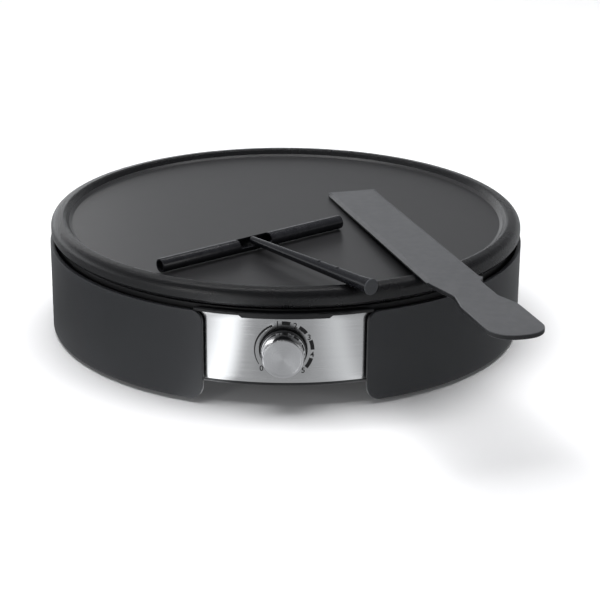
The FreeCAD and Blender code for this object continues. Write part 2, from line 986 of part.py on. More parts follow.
def front_panel():
    body = new_body("front_panel")
    back = z.panel_radius - z.panel_thickness
    top = z.lip_bottom - z.panel_gap
    low = z.panel_bottom
    section = new_sketch(body, "sheet_section", "YZ_Plane")
    outline(section, [
        (-z.panel_radius, low),
        (-back, low),
        (-back, top),
        (-z.panel_radius, top),
    ])
    turn = body.newObject("PartDesign::Revolution", "sheet")
    turn.Profile = section
    turn.ReferenceAxis = (section, ["V_Axis"])
    turn.Midplane = True
    bind(turn, "Angle", z.panel_half_angle * 2)
    body.Tip = turn

    def opening(sketch):
        circle(sketch, 0, z.dial_level, z.panel_opening)

    def relief(sketch):
        step = z.lip_bottom - z.lip_drop - z.panel_gap
        left = -(z.lip_drop_left + z.lip_slant)
        right = z.lip_drop_right + z.lip_slant
        box_outline(sketch, left - z.panel_gap, right + z.panel_gap, step, z.lip_top)

    pocket(body, "dial_opening", "XZ_Plane", opening, back=True)
    pocket(body, "visor_relief", "XZ_Plane", relief, back=True)
    panel_tabs(body)
    return keep(body)


def tab_reach():
    """How far each tab's middle is from the dial's axis, across the panel."""
    return z.panel_radius * sine(z.panel_half_angle) - z.tab_edge


def panel_tabs(body):
    """Four tabs folded back from the sheet's sides through the housing wall."""

    def tabs(sketch):
        for side in (-1, 1):
            middle = tab_reach() * side
            half = z.tab_thickness / 2
            for low in (z.tab_low, z.tab_high):
                box_outline(sketch, middle - half, middle + half, low, low + z.tab_height)

    end = z.panel_radius * cosine(z.panel_half_angle) + z.panel_thickness / 4
    pad(body, "tabs", "XZ_Plane", tabs, z.tab_length, end - z.tab_length)


# Side shells


def side_shell(name, turn):
    wall = new_body(f"{name}_wall")
    inner = z.shell_radius - z.shell_wall
    revolve(wall, "wall", [
        (inner, z.shell_bottom),
        (z.shell_radius, z.shell_bottom),
        (z.shell_radius, z.shell_top),
        (inner, z.shell_top),
    ], angle=180 - z.shell_edge_angle * 2)
    corner_cuts(wall, z.shell_radius * sine(z.shell_edge_angle))
    bosses = [shell_boss(f"{name}_boss_{step + 2}", inner, step) for step in (-1, 0, 1)]
    whole = joined(name, [wall, *bosses])
    place(whole, turn=turn)
    return keep(whole)


def corner_cuts(body, edge):
    """Rounded corners at both ends of the shell, cut along the view from the front."""
    out = edge - 4
    top = z.shell_top
    low = z.shell_bottom

    def waste(sketch):
        outline(sketch, [
            (out, low - 3),
            (edge + z.shell_bottom_round + 1, low - 3),
            (edge + z.shell_bottom_round + 1, low),
            (edge, low, z.shell_bottom_round),
            (edge, top, z.shell_top_round),
            (edge + z.shell_top_round + 1, top),
            (edge + z.shell_top_round + 1, top + 3),
            (out, top + 3),
        ])

    pocket(body, "corner_cuts", "XZ_Plane", waste, z.shell_radius * 2 + 10, middle=True)
    top_z = z.shell_top.value
    inner = (z.shell_radius - z.shell_wall).value

    def outside(e):
        middle = e.valueAt((e.FirstParameter + e.LastParameter) / 2)
        reach = math.hypot(middle.x, middle.y)
        return reach > inner + 1 and e.Length > 2.0 and middle.z <= top_z + 0.1

    soften(body, "edge_round", z.shell_edge_round, outside)


def shell_boss(name, inner, step):
    """A bored boss that stands the shell off the housing wall."""
    body = new_body(name)
    start = z.housing_radius + z.shell_boss_gap

    def tube(sketch):
        circle(sketch, 0, z.shell_boss_level, z.shell_boss_radius)
        circle(sketch, 0, z.shell_boss_level, z.screw_radius)

    pad(body, "tube", "YZ_Plane", tube, inner + z.shell_wall / 2 - start, start)
    place(body, turn=z.shell_boss_angle * step)
    return body


def shell_screws():
    """Six screws driven outwards from inside the housing into the shells' bosses."""
    inner = z.housing_radius - z.wall
    sets = []
    for shell_turn in (0, 180):
        for step in (-1, 0, 1):
            turn = shell_turn + z.shell_boss_angle * step
            screw = pan_screw(f"shell_screw_{len(sets) + 1}", z.shell_screw_length)
            place(screw, inner - z.shell_screw_lift, 0, z.shell_boss_level, 90, (0, 1, 0))
            spot = group(f"shell_screw_place_{len(sets) + 1}", [screw])
            place(spot, turn=turn)
            sets.append(spot)
    return keep(group("shell_screws", sets))


# Feet


def feet():
    """Solid rubber feet whose stems are drawn up into the bosses by screws from above."""
    screws = []
    seat = z.housing_bottom + z.wall + z.foot_boss_height
    stem_top = seat - z.foot_web - z.foot_stem_gap
    names = ("foot_rear_right", "foot_rear_left", "foot_front_left", "foot_front_right")
    for name, degrees in zip(names, CORNER_TURNS):
        x, y = around(z.foot_ring_radius, degrees)
        body = new_body(name)
        revolve(body, "puck", [
            (0, 0),
            (z.foot_radius, 0, z.round_slight),
            (z.foot_radius, z.housing_bottom, z.round_slight),
            (z.foot_stem_radius, z.housing_bottom),
            (z.foot_stem_radius, stem_top, z.round_slight),
            (z.screw_radius, stem_top),
            (z.screw_radius, z.foot_pilot_end),
            (0, z.foot_pilot_end),
        ])
        place(body, x, y)
        keep(body)
        screw = pan_screw(f"{name}_screw", z.foot_screw_length)
        place(screw, x, y, seat, 180, (1, 0, 0))
        screws.append(screw)
    return keep(group("foot_screws", screws))


# Thermostat


def thermostat():
    back = z.thermostat_front - z.thermostat_depth
    body = new_body("thermostat_body")
    half = z.thermostat_width / 2
    low = z.dial_level - z.thermostat_height / 2
    high = z.dial_level + z.thermostat_height / 2

    def case(sketch):
        box_outline(sketch, -half, half, low, high, z.round_wide)

    def neck(sketch):
        circle(sketch, 0, z.dial_level, z.thermostat_neck_radius)

    pad(body, "case", "XZ_Plane", case, z.thermostat_depth, back)
    pad(body, "neck", "XZ_Plane", neck, z.thermostat_neck, z.thermostat_front)

    def shaft_hole(sketch):
        circle(sketch, 0, z.dial_level, z.spindle_radius + z.knob_bore_gap)

    deep = z.thermostat_front - z.thermostat_depth / 2
    pocket(body, "bore", "XZ_Plane", shaft_hole, z.thermostat_depth, deep, back=True)
    keep(body)
    thermostat_bracket(back, low, high)
    thermostat_blades(back)


def thermostat_bracket(back, low, high):
    """A steel angle that hangs the thermostat from the hot plate and feels its heat."""
    body = new_body("thermostat_bracket")
    under = z.cook_level - z.plate_web
    y_front = -back
    y_back = -(back - z.bracket_thickness)

    def angle(sketch):
        outline(sketch, [
            (y_front, low),
            (y_back, low),
            (y_back, under - z.bracket_thickness, z.round_fold),
            (y_back + z.bracket_foot, under - z.bracket_thickness),
            (y_back + z.bracket_foot, under),
            (y_front, under, z.round_wide),
        ])

    pad(body, "angle", "YZ_Plane", angle, z.bracket_width, middle=True)

    def hole(sketch):
        circle(sketch, 0, -bracket_screw_reach(), z.screw_radius + z.screw_hole_gap)

    start = under - z.bracket_thickness * 2
    pocket(body, "screw_hole", "XY_Plane", hole, z.bracket_thickness * 3, start, back=True)
    keep(body)
    length = z.bracket_thickness + z.bracket_screw_depth - z.screw_hole_gap
    screw = pan_screw("bracket_screw", length)
    place(screw, 0, -bracket_screw_reach(), under - z.bracket_thickness)
    return keep(screw)


def thermostat_blades(back):
    blades = []
    for name, side in (("right", 1), ("left", -1)):
        body = new_body(f"thermostat_blade_{name}")
        half = z.terminal_width / 2
        tall = z.dial_level - z.thermostat_height / 2

        def tongue(sketch):
            box_outline(sketch, -half, half, tall - z.terminal_length, tall, z.round_mid)

        middle = z.thermostat_front - z.thermostat_depth / 2
        pad(body, "tongue", "XZ_Plane", tongue, z.blade_thickness, middle)
        place(body, z.thermostat_width * side / 4)
        blades.append(body)
    return keep(group("thermostat_blades", blades))


# Control knob and spindle, all turned about the dial's axis


def dial_revolve(name, corners):
    """A body turned about its own Z, then laid with +Z towards the user."""
    body = new_body(name)
    revolve(body, "turned", corners)
    return body


def at_dial(thing):
    thing.Placement = FreeCAD.Placement(
        FreeCAD.Vector(0, 0, z.dial_level.value), FreeCAD.Rotation(FreeCAD.Vector(1, 0, 0), 90)
    )
    thing.setExpression(".Placement.Base.z", z.dial_level.words)
    return keep(thing)


def bore(sketch):
    circle(sketch, 0, 0, z.spindle_radius + z.knob_bore_gap)


def beyond_flat(start):
    """An outline over what lies past the spindle's flat, which starts so far out."""

    def block(sketch):
        half = z.spindle_radius + z.knob_bore_gap * 2
        box_outline(sketch, start, z.spindle_radius * 1.3, -half, half)

    return block


def control_knob():
    collar_front = z.knob_back + z.collar_depth
    seat = z.knob_face - z.disc_thickness - z.disc_fit
    core = dial_revolve("control_knob", [
        (0, z.knob_back + z.collar_inset_depth),
        (z.collar_radius - 3.5, z.knob_back + z.collar_inset_depth),
        (z.collar_radius - 2.5, z.knob_back),
        (z.collar_radius, z.knob_back, z.round_slight),
        (z.collar_radius, collar_front, z.round_slight),
        (z.core_radius, collar_front),
        (z.core_radius, seat),
        (0, seat),
    ])
    deep = z.spindle_reach + z.screw_hole_gap
    pocket(core, "bore", "XY_Plane", bore, deep, z.knob_back, back=True)
    inset = z.collar_inset_depth
    key = beyond_flat(z.spindle_flat + z.knob_bore_gap)
    pad(core, "bore_flat", "XY_Plane", key, deep - inset, z.knob_back + inset)
    at_dial(core)
    skirt = dial_revolve("knob_skirt", [
        (z.core_radius + z.skirt_fit, collar_front),
        (z.skirt_base_radius, collar_front, z.round_fine),
        (z.skirt_front_radius, z.skirt_front, 0.2),
        (z.disc_radius + z.disc_fit, z.skirt_front),
        (z.disc_radius + z.disc_fit, seat),
        (z.core_radius + z.skirt_fit, seat),
    ])
    at_dial(skirt)
    disc = dial_revolve("knob_face_disc", [
        (0, seat + z.disc_fit),
        (z.disc_radius, seat + z.disc_fit),
        (z.disc_radius, z.knob_face, z.round_fine),
        (0, z.knob_face),
    ])
    at_dial(disc)


def knob_pointer():
    """The inlaid mark that runs along the skirt's cone."""
    body = new_body("knob_pointer")
    collar_front = z.knob_back + z.collar_depth
    lift = z.pointer_proud
    section = new_sketch(body, "bar_section", "XZ_Plane")
    gap = as_size(0.1)
    outline(section, [
        (z.skirt_base_radius + gap, collar_front + 0.4),
        (z.skirt_base_radius + lift, collar_front + 0.4),
        (z.skirt_front_radius + lift, z.skirt_front - 0.5),
        (z.skirt_front_radius + gap, z.skirt_front - 0.5),
    ])
    bar = body.newObject("PartDesign::Pad", "bar")
    bar.Profile = section
    bar.SideType = "Symmetric"
    bind(bar, "Length", z.pointer_width)
    body.Tip = bar
    spin = FreeCAD.Rotation(FreeCAD.Vector(0, 1, 0), z.pointer_angle.value - 90)
    lay = FreeCAD.Rotation(FreeCAD.Vector(1, 0, 0), 90)
    body.Placement = FreeCAD.Placement(
        FreeCAD.Vector(0, 0, z.dial_level.value), spin.multiply(lay)
    )
    body.setExpression(".Placement.Base.z", z.dial_level.words)
    return keep(body)


def spindle():
    body = new_body("thermostat_spindle")
    start = z.thermostat_front - z.thermostat_depth / 2 + 0.3

    def shaft(sketch):
        circle(sketch, 0, 0, z.spindle_radius)

    pad(body, "shaft", "XY_Plane", shaft, z.spindle_end - start, start)
    beyond = beyond_flat(z.spindle_flat)
    pocket(body, "flat", "XY_Plane", beyond, z.spindle_reach + 1, z.knob_back - 1, back=True)
    return at_dial(body)


# Thermal fuse, terminal block and earth tab


def thermal_fuse():
    level = z.cook_level - z.plate_web - z.fuse_radius - 0.6
    body = new_body("thermal_fuse")

    def can(sketch):
        circle(sketch, 0, 0, z.fuse_radius)

    def lead(sketch):
        circle(sketch, 0, 0, z.fuse_lead_radius)

    pad(body, "can", "YZ_Plane", can, z.fuse_length, middle=True)
    pad(body, "leads", "YZ_Plane", lead, z.fuse_length + z.fuse_lead_length * 2, middle=True)
    place(body, 0, z.fuse_place, level)
    keep(body)
    clip = new_body("fuse_clip")
    hug = z.fuse_radius + 0.15
    thick = as_size(0.8)
    reach = hug + thick + 7

    def strap(sketch):
        outline(sketch, [
            (-hug - thick, z.fuse_radius + 0.6),
            (-hug - thick, -hug - thick, z.round_soft),
            (hug + thick, -hug - thick, z.round_soft),
            (hug + thick, z.fuse_radius + 0.6 - thick),
            (reach, z.fuse_radius + 0.6 - thick),
            (reach, z.fuse_radius + 0.6),
            (hug, z.fuse_radius + 0.6),
            (hug, -hug, z.round_edge),
            (-hug, -hug, z.round_edge),
            (-hug, z.fuse_radius + 0.6),
        ])

    pad(clip, "strap", "YZ_Plane", strap, z.fuse_clip_width, middle=True)
    place(clip, 0, z.fuse_place, level)
    return keep(clip)


def terminal_block():
    body = new_body("terminal_block")
    floor = z.housing_bottom + z.wall
    half = z.block_length / 2
    deep = z.block_width / 2

    def base(sketch):
        box_outline(sketch, -half, half, -deep, deep, z.round_fold)

    pad(body, "base", "XY_Plane", base, z.block_height * 0.45)

    def tower(sketch):
        box_outline(sketch, -half + 2, half - 2, -deep + 3.5, deep - 3.5, z.round_mid)

    pad(body, "tower", "XY_Plane", tower, z.block_height)
    pitch = z.block_length / z.block_ways

    def ways(sketch):
        for spot in (-1, 0, 1):
            circle(sketch, pitch * spot, z.block_height * 0.4, 2.2)

    pocket(body, "wire_ways", "XZ_Plane", ways, z.block_width + 2, middle=True)

    def screw_ways(sketch):
        for spot in (-1, 0, 1):
            circle(sketch, pitch * spot, 0, 1.9)

    pocket(body, "screw_ways", "XY_Plane", screw_ways, z.block_height * 0.6, z.block_height)
    place(body, 0, z.block_place, floor)
    return keep(body)


def earth_tab():
    body = new_body("earth_tab")
    low = z.shield_level - z.blade_thickness
    width = z.terminal_width / 2

    def plan(sketch):
        box_outline(sketch, -width - 1.5, width + 1.5, -5, 7, 1.5)
        circle(sketch, 0, 0, z.screw_radius + z.screw_hole_gap)

    pad(body, "foot", "XY_Plane", plan, z.blade_thickness, low)

    def tongue(sketch):
        box_outline(sketch, -width, width, low - z.terminal_length, low + 0.1)

    pad(body, "tongue", "XZ_Plane", tongue, z.blade_thickness, -7)
    place(body, 0, z.earth_place)
    keep(body)
    screw = pan_screw("earth_screw", as_size(6))
    place(screw, 0, z.earth_place, low)
    return keep(screw)


# Cord inlet at the rear


def cord_gland():
    body = new_body("cord_gland")
    outer = z.housing_radius + 0.3
    revolve(body, "gland", [
        (z.gland_bore, z.housing_radius - z.gland_inside),
        (z.gland_neck_radius, z.housing_radius - z.gland_inside, z.round_mid),
        (z.gland_neck_radius, outer),
        (z.gland_radius, outer, z.round_fine),
        (z.gland_radius - 0.6, outer + z.gland_flange, z.round_mid),
        (z.gland_bore + 1, outer + z.gland_flange, z.round_small),
        (z.gland_bore, outer + z.gland_flange - 1),
    ])
    body.Placement = FreeCAD.Placement(
        FreeCAD.Vector(0, 0, z.gland_level.value), FreeCAD.Rotation(FreeCAD.Vector(1, 0, 0), -90)
    )
    body.setExpression(".Placement.Base.z", z.gland_level.words)
    keep(body)
    nut = new_body("gland_nut")
    start = z.housing_radius - z.gland_inside + 1
    end = z.housing_radius - z.wall - 0.4

    def hexagon(sketch):
        across = z.gland_radius
        points = []
        for k in range(6):
            angle = as_size(60 * k)
            points.append((across * cosine(angle), across * sine(angle)))
        outline(sketch, points)
        circle(sketch, 0, 0, z.gland_neck_radius + 0.05)

    pad(nut, "hexagon", "XY_Plane", hexagon, end - start, start)
    nut.Placement = body.Placement
    nut.setExpression(".Placement.Base.z", z.gland_level.words)
    return keep(nut)


# Batter spreader


def spreader():
    level = z.cook_level + z.rest_gap + z.head_radius
    head = new_body("spreader_head")

    def ring(sketch):
        circle(sketch, 0, 0, z.head_radius)
        circle(sketch, 0, 0, z.head_bore)

    pad(head, "tube", "YZ_Plane", ring, z.head_length, middle=True)

    def saddle(sketch):
        half = z.notch_length / 2
        box_outline(sketch, -half, half, z.notch_cut, z.head_radius + 2, z.round_fine)

    pocket(head, "saddle", "XZ_Plane", saddle, z.head_radius * 4, middle=True)
    place(head, z.head_centre_x, z.head_centre_y, level, turn=z.head_turn)
    keep(head)
    spreader_handle(level)


def spreader_handle(level):
    """A tapered rod seated in the saddle, with a disc cap on its far end."""
    start = -z.handle_overlap
    end = start + z.handle_length - z.cap_thickness
    seat = level + z.notch_cut + z.handle_seat_gap + z.handle_start_radius
    rod = new_body("spreader_handle")
    revolve(rod, "rod", [
        (0, start),
        (z.handle_start_radius, start, z.round_mid),
        (z.handle_end_radius, end),
        (z.cap_spigot_radius + 0.1, end),
        (z.cap_spigot_radius + 0.1, end - z.cap_spigot - 0.5),
        (0, end - z.cap_spigot - 0.5),
    ])
    cap = new_body("spreader_end_cap")
    revolve(cap, "cap", [
        (0, end - z.cap_spigot),
        (z.cap_spigot_radius, end - z.cap_spigot, z.round_slight),
        (z.cap_spigot_radius, end),
        (z.cap_radius, end, 0.2),
        (z.cap_radius, end + z.cap_thickness, z.round_slight),
        (0, end + z.cap_thickness),
    ])
    along = FreeCAD.Rotation(FreeCAD.Vector(0, 0, 1), z.head_turn.value - 90)
    lean = FreeCAD.Rotation(FreeCAD.Vector(0, 1, 0), 90 - z.handle_tilt.value)
    for thing in (rod, cap):
        thing.Placement = FreeCAD.Placement(
            FreeCAD.Vector(z.head_centre_x.value, z.head_centre_y.value, 0),
            along.multiply(lean),
        )
        thing.setExpression(".Placement.Base.z", seat.words)
        thing.setExpression(".Placement.Base.x", z.head_centre_x.words)
        thing.setExpression(".Placement.Base.y", z.head_centre_y.words)
        keep(thing)


# Spatula


def spatula():
    body = new_body("spatula")
    blade = z.blade_width / 2
    grip = z.grip_width / 2
    neck_start = z.blade_length
    neck_end = neck_start + z.neck_length
    end = neck_end + z.grip_length

    def plan(sketch):
        outline(sketch, [
            (0, -blade, z.tip_round),
            (neck_start, -blade, z.round_shoulder),
            (neck_start + 6, -blade + 6, z.round_neck),
            (neck_end, -grip, z.round_long),
            (end, -grip, z.grip_end_round),
            (end, grip, z.grip_end_round),
            (neck_end, grip, z.round_long),
            (neck_start + 6, blade - 6, z.round_neck),
            (neck_start, blade, z.round_shoulder),
            (0, blade, z.tip_round),
        ])

    pad(body, "plan", "XY_Plane", plan, z.spatula_thickness)

    def bevel(sketch):
        thick = z.spatula_thickness
        for side in (-1, 1):
            outline(sketch, [
                ((blade - z.blade_bevel) * side, thick),
                ((blade + 1) * side, thick + 1),
                ((blade + 1) * side, thick * 0.3),
                (blade * side, thick * 0.4),
            ])

    pocket(body, "bevels", "YZ_Plane", bevel, z.blade_length - 4, back=True)
    lean = FreeCAD.Rotation(FreeCAD.Vector(0, 1, 0), -z.blade_tilt.value)
    along = FreeCAD.Rotation(FreeCAD.Vector(0, 0, 1), z.blade_turn.value)
    body.Placement = FreeCAD.Placement(
        FreeCAD.Vector(z.tip_x.value, z.tip_y.value, 0), along.multiply(lean)
    )
    seat = z.cook_level + z.rest_gap
    body.setExpression(".Placement.Base.x", z.tip_x.words)
    body.setExpression(".Placement.Base.y", z.tip_y.words)
    body.setExpression(".Placement.Base.z", seat.words)
    return keep(body)


def check_and_write():
    doc.recompute()
    for thing in doc.Objects:
        if {"Invalid", "Error"} & set(thing.State):
            raise RuntimeError(f"{thing.Name} ({thing.Label}) is {thing.State}")
    os.makedirs("parts", exist_ok=True)
    for part in PARTS:
        shape = part.Shape
        if shape.isNull() or not shape.isValid() or not shape.Solids:
            raise RuntimeError(f"{part.Label} has no sound shape")
        shape.exportStep(f"parts/{part.Label}.step")
        box = shape.BoundBox
        print(
            f"{part.Label}: {len(shape.Solids)} solids, {shape.Volume / 1000:.2f} cm3,"
            f" x {box.XMin:.1f} {box.XMax:.1f} y {box.YMin:.1f} {box.YMax:.1f}"
            f" z {box.ZMin:.1f} {box.ZMax:.1f}"
        )


def build():
    griddle_plate()
    heating_element()
    element_fittings()
    heat_shield()
    plate_mounting()
    base_housing()
    front_panel()
    side_shell("right_side_shell", 0)
    side_shell("left_side_shell", 180)
    shell_screws()
    feet()
    thermostat()
    control_knob()
    knob_pointer()
    spindle()
    thermal_fuse()
    terminal_block()
    earth_tab()
    cord_gland()
    spreader()
    spatula()
    check_and_write()


build()
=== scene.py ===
import math
import bmesh
import bpy
from mathutils import Matrix, Vector


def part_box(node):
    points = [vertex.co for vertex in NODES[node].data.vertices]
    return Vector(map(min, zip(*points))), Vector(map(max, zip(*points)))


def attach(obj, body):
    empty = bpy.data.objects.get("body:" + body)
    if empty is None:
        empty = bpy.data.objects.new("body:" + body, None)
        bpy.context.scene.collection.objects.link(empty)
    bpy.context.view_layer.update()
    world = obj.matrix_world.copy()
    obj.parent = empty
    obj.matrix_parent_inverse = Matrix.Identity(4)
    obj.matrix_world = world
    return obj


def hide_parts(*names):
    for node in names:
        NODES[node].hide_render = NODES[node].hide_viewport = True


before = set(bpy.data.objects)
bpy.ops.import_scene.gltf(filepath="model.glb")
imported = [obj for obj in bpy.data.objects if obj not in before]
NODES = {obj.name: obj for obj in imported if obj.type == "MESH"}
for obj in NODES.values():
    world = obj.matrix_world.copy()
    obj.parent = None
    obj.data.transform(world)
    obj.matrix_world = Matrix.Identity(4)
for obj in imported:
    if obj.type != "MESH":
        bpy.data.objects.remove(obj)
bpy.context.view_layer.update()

MM = 0.001

# Sizes read from the frame, in metres
_, PLATE_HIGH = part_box("griddle_plate")
PLATE_R = PLATE_HIGH.x
RIM_TOP = PLATE_HIGH.z
SHELL_LOW, SHELL_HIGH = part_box("right_side_shell")
_, HOUSING_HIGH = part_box("base_housing")
HOUSING_R = HOUSING_HIGH.y
PANEL_LOW, PANEL_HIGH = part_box("front_panel")
PANEL_R = -PANEL_LOW.y
DISC_LOW, DISC_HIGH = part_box("knob_face_disc")
SKIRT_LOW, SKIRT_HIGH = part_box("knob_skirt")
_, COLLAR_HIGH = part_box("control_knob")
DIAL_Z = (DISC_LOW.z + DISC_HIGH.z) / 2
SPATULA_LOW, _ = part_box("spatula")
HEAD_LOW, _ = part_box("spreader_head")

# Sizes and angles read from the photograph; lengths in metres
COOK_R = 150.3 * MM
COOK_LEVEL = RIM_TOP - 4.7 * MM
SHELL_R = 165.8 * MM
SHELL_WALL = 2.7 * MM
SHELL_EDGE_ANGLE = math.radians(19.0)
SHELL_EDGE_LEFT = math.radians(18.2)
SHELL_TOP_ROUND = 7.5 * MM
SHELL_BOTTOM_ROUND = 9.5 * MM
SHELL_BEVEL = 1.2 * MM
PANEL_HALF_ANGLE = math.radians(20.0)
PANEL_OPENING = 15.4 * MM
PANEL_SQUARE = 19 * MM
PANEL_RAISE = 1.6 * MM
PANEL_THICK = 0.7 * MM
PANEL_BEVEL = 0.12 * MM
VISOR_HALF_ANGLE = math.radians(20.3)
VISOR_CORNER_ANGLE = math.radians(17.3)
VISOR_STAND_OFF = 0.5 * MM
VISOR_EDGE_BAND = 3 * MM
HEAD_CENTRE = Vector((-21.6, -73.6, 0)) * MM
HEAD_TURN = math.radians(38.5)
HEAD_R = 4.7 * MM
HEAD_BORE = 3.6 * MM
HEAD_LENGTH = 150 * MM
BLADE_TIP = Vector((47.8, 50.7, 0)) * MM
BLADE_TURN = math.radians(-73.5)
BLADE_TILT = math.radians(1.6)
BLADE_HALF = 18.5 * MM
SPATULA_LENGTH = 319 * MM
SPATULA_THICK = 3 * MM
SPATULA_SOFT_EDGE = 0.35 * MM

# Camera, fitted to the photograph
CAMERA_TARGET = Vector((10.38, 0, 12.64)) * MM
CAMERA_ELEVATION = math.radians(20.66)
CAMERA_DISTANCE = 1348 * MM
CAMERA_ROLL = math.radians(0.45)
CAMERA_LENS = 112.44
CAMERA_REACH = 20
SENSOR = 36.0

# Mesh settings
WELD = 1e-7
COARSE_WELD = 1e-6
SMOOTH_BELOW = math.radians(32)
SMOOTH_BELOW_BLADE = math.radians(18)
BEVEL_ABOVE = math.radians(50)
FULL_TURN = 2 * math.pi
QUARTER = math.pi / 2


# Mesh helpers


def new_object(name, mesh):
    piece = bpy.data.objects.new(name, mesh)
    bpy.context.scene.collection.objects.link(piece)
    return piece


def mesh_from(name, points, faces):
    mesh = bpy.data.meshes.new(name)
    mesh.from_pydata([tuple(p) for p in points], [], faces)
    mesh.update()
    return mesh


def tidy_mesh(mesh, merge=WELD, angle=SMOOTH_BELOW):
    """Welds doubles, turns faces outwards and marks sharp edges."""
    work = bmesh.new()
    work.from_mesh(mesh)
    bmesh.ops.remove_doubles(work, verts=work.verts, dist=merge)
    bmesh.ops.dissolve_degenerate(work, edges=work.edges, dist=merge)
    bmesh.ops.recalc_face_normals(work, faces=work.faces)
    mark_sharp(work, angle)
    work.to_mesh(mesh)
    work.free()
    return mesh


def mark_sharp(work, angle):
    for face in work.faces:
        face.smooth = True
    for edge in work.edges:
        edge.smooth = len(edge.link_faces) == 2 and edge.calc_face_angle(math.pi) < angle


def baked(piece):
    """The piece's modifiers, turned into a plain mesh."""
    bpy.context.view_layer.update()
    graph = bpy.context.evaluated_depsgraph_get()
    mesh = bpy.data.meshes.new_from_object(piece.evaluated_get(graph))
    piece.modifiers.clear()
    piece.data = mesh
    return piece


def unit(a, b):
    run = (b[0] - a[0], b[1] - a[1])
    length = math.hypot(*run)
    return run[0] / length, run[1] / length


def corner_points(before, corner, after, radius, steps):
    back = unit(corner, before)
    ahead = unit(corner, after)
    dot = max(-1.0, min(1.0, back[0] * ahead[0] + back[1] * ahead[1]))
    half = math.acos(dot) / 2
    reach = radius / math.tan(half)
    middle = unit((0, 0), (back[0] + ahead[0], back[1] + ahead[1]))
    depth = radius / math.sin(half)
    centre = (corner[0] + middle[0] * depth, corner[1] + middle[1] * depth)
    start = (corner[0] + back[0] * reach, corner[1] + back[1] * reach)
    end = (corner[0] + ahead[0] * reach, corner[1] + ahead[1] * reach)
    first = math.atan2(start[1] - centre[1], start[0] - centre[0])
    turn = math.atan2(end[1] - centre[1], end[0] - centre[0]) - first
    turn = (turn + math.pi) % FULL_TURN - math.pi
    spread = [first + turn * k / steps for k in range(steps + 1)]
    return [(centre[0] + radius * math.cos(a), centre[1] + radius * math.sin(a)) for a in spread]


def rounded(corners, closed=False, steps=6):
    """A polyline through corners in millimetres (across, up, radius), given in metres."""
    path = []
    count = len(corners)
    for i, corner in enumerate(corners):
        radius = corner[2] if len(corner) > 2 else 0
        inner = closed or 0 < i < count - 1
        if radius and inner:
            before, after = corners[i - 1], corners[(i + 1) % count]
            path += corner_points(before, corner, after, radius, steps)
        else:
            path.append((corner[0], corner[1]))
    return [(x * MM, y * MM) for x, y in path]


# Geometry node helpers


def new_tree(name, inputs):
    tree = bpy.data.node_groups.new(name, "GeometryNodeTree")
    tree.interface.new_socket("Geometry", in_out="INPUT", socket_type="NodeSocketGeometry")
    for label, kind, value in inputs:
        made = tree.interface.new_socket(label, in_out="INPUT", socket_type=kind)
        if value is not None:
            made.default_value = value
    tree.interface.new_socket("Geometry", in_out="OUTPUT", socket_type="NodeSocketGeometry")
    return tree, tree.nodes.new("NodeGroupInput"), tree.nodes.new("NodeGroupOutput")


def maths(tree, operation, a, b=None):
    step = tree.nodes.new("ShaderNodeMath")
    step.operation = operation
    for slot, value in zip(step.inputs, (a, b)):
        if value is None:
            continue
        if isinstance(value, (int, float)):
            slot.default_value = value
        else:
            tree.links.new(value, slot)
    return step.outputs[0]


def lathe_tree():
    """Turns a profile of points (radius along X, height along Z) about Z."""
    tree, given, result = new_tree("lathe", [
        ("Segments", "NodeSocketInt", 128),
        ("Material", "NodeSocketMaterial", None),
    ])
    link = tree.links.new
    size = tree.nodes.new("GeometryNodeAttributeDomainSize")
    link(given.outputs["Geometry"], size.inputs[0])
    grid = tree.nodes.new("GeometryNodeMeshGrid")
    link(maths(tree, "ADD", given.outputs["Segments"], 1), grid.inputs["Vertices X"])
    link(size.outputs["Point Count"], grid.inputs["Vertices Y"])
    index = tree.nodes.new("GeometryNodeInputIndex").outputs[0]
    rows = size.outputs["Point Count"]
    row = maths(tree, "MODULO", index, rows)
    column = maths(tree, "FLOOR", maths(tree, "DIVIDE", maths(tree, "ADD", index, 0.5), rows))
    spot = tree.nodes.new("GeometryNodeInputPosition").outputs[0]
    sample = tree.nodes.new("GeometryNodeSampleIndex")
    sample.data_type = "FLOAT_VECTOR"
    link(given.outputs["Geometry"], sample.inputs["Geometry"])
    link(spot, sample.inputs["Value"])
    link(row, sample.inputs["Index"])
    split = tree.nodes.new("ShaderNodeSeparateXYZ")
    link(sample.outputs[0], split.inputs[0])
    share = maths(tree, "DIVIDE", column, given.outputs["Segments"])
    angle = maths(tree, "MULTIPLY", share, FULL_TURN)
    place = tree.nodes.new("ShaderNodeCombineXYZ")
    link(maths(tree, "MULTIPLY", split.outputs[0], maths(tree, "COSINE", angle)), place.inputs[0])
    link(maths(tree, "MULTIPLY", split.outputs[0], maths(tree, "SINE", angle)), place.inputs[1])
    link(split.outputs[2], place.inputs[2])
    move = tree.nodes.new("GeometryNodeSetPosition")
    link(grid.outputs["Mesh"], move.inputs["Geometry"])
    link(place.outputs[0], move.inputs["Position"])
    weld = tree.nodes.new("GeometryNodeMergeByDistance")
    weld.inputs["Distance"].default_value = WELD
    link(move.outputs[0], weld.inputs["Geometry"])
    real = tree.nodes.new("GeometryNodeRealizeInstances")
    link(weld.outputs[0], real.inputs[0])
    paint = tree.nodes.new("GeometryNodeSetMaterial")
    link(real.outputs[0], paint.inputs["Geometry"])
    link(given.outputs["Material"], paint.inputs["Material"])
    link(paint.outputs[0], result.inputs[0])
    return tree


def run_tree(piece, tree, values):
    """Runs a node tree on a piece and keeps the result as a plain mesh."""
    step = piece.modifiers.new("shape", "NODES")
    step.node_group = tree
    names = {s.name: s.identifier for s in tree.interface.items_tree if s.in_out == "INPUT"}
    for label, value in values.items():
        step[names[label]] = value
    return baked(piece)


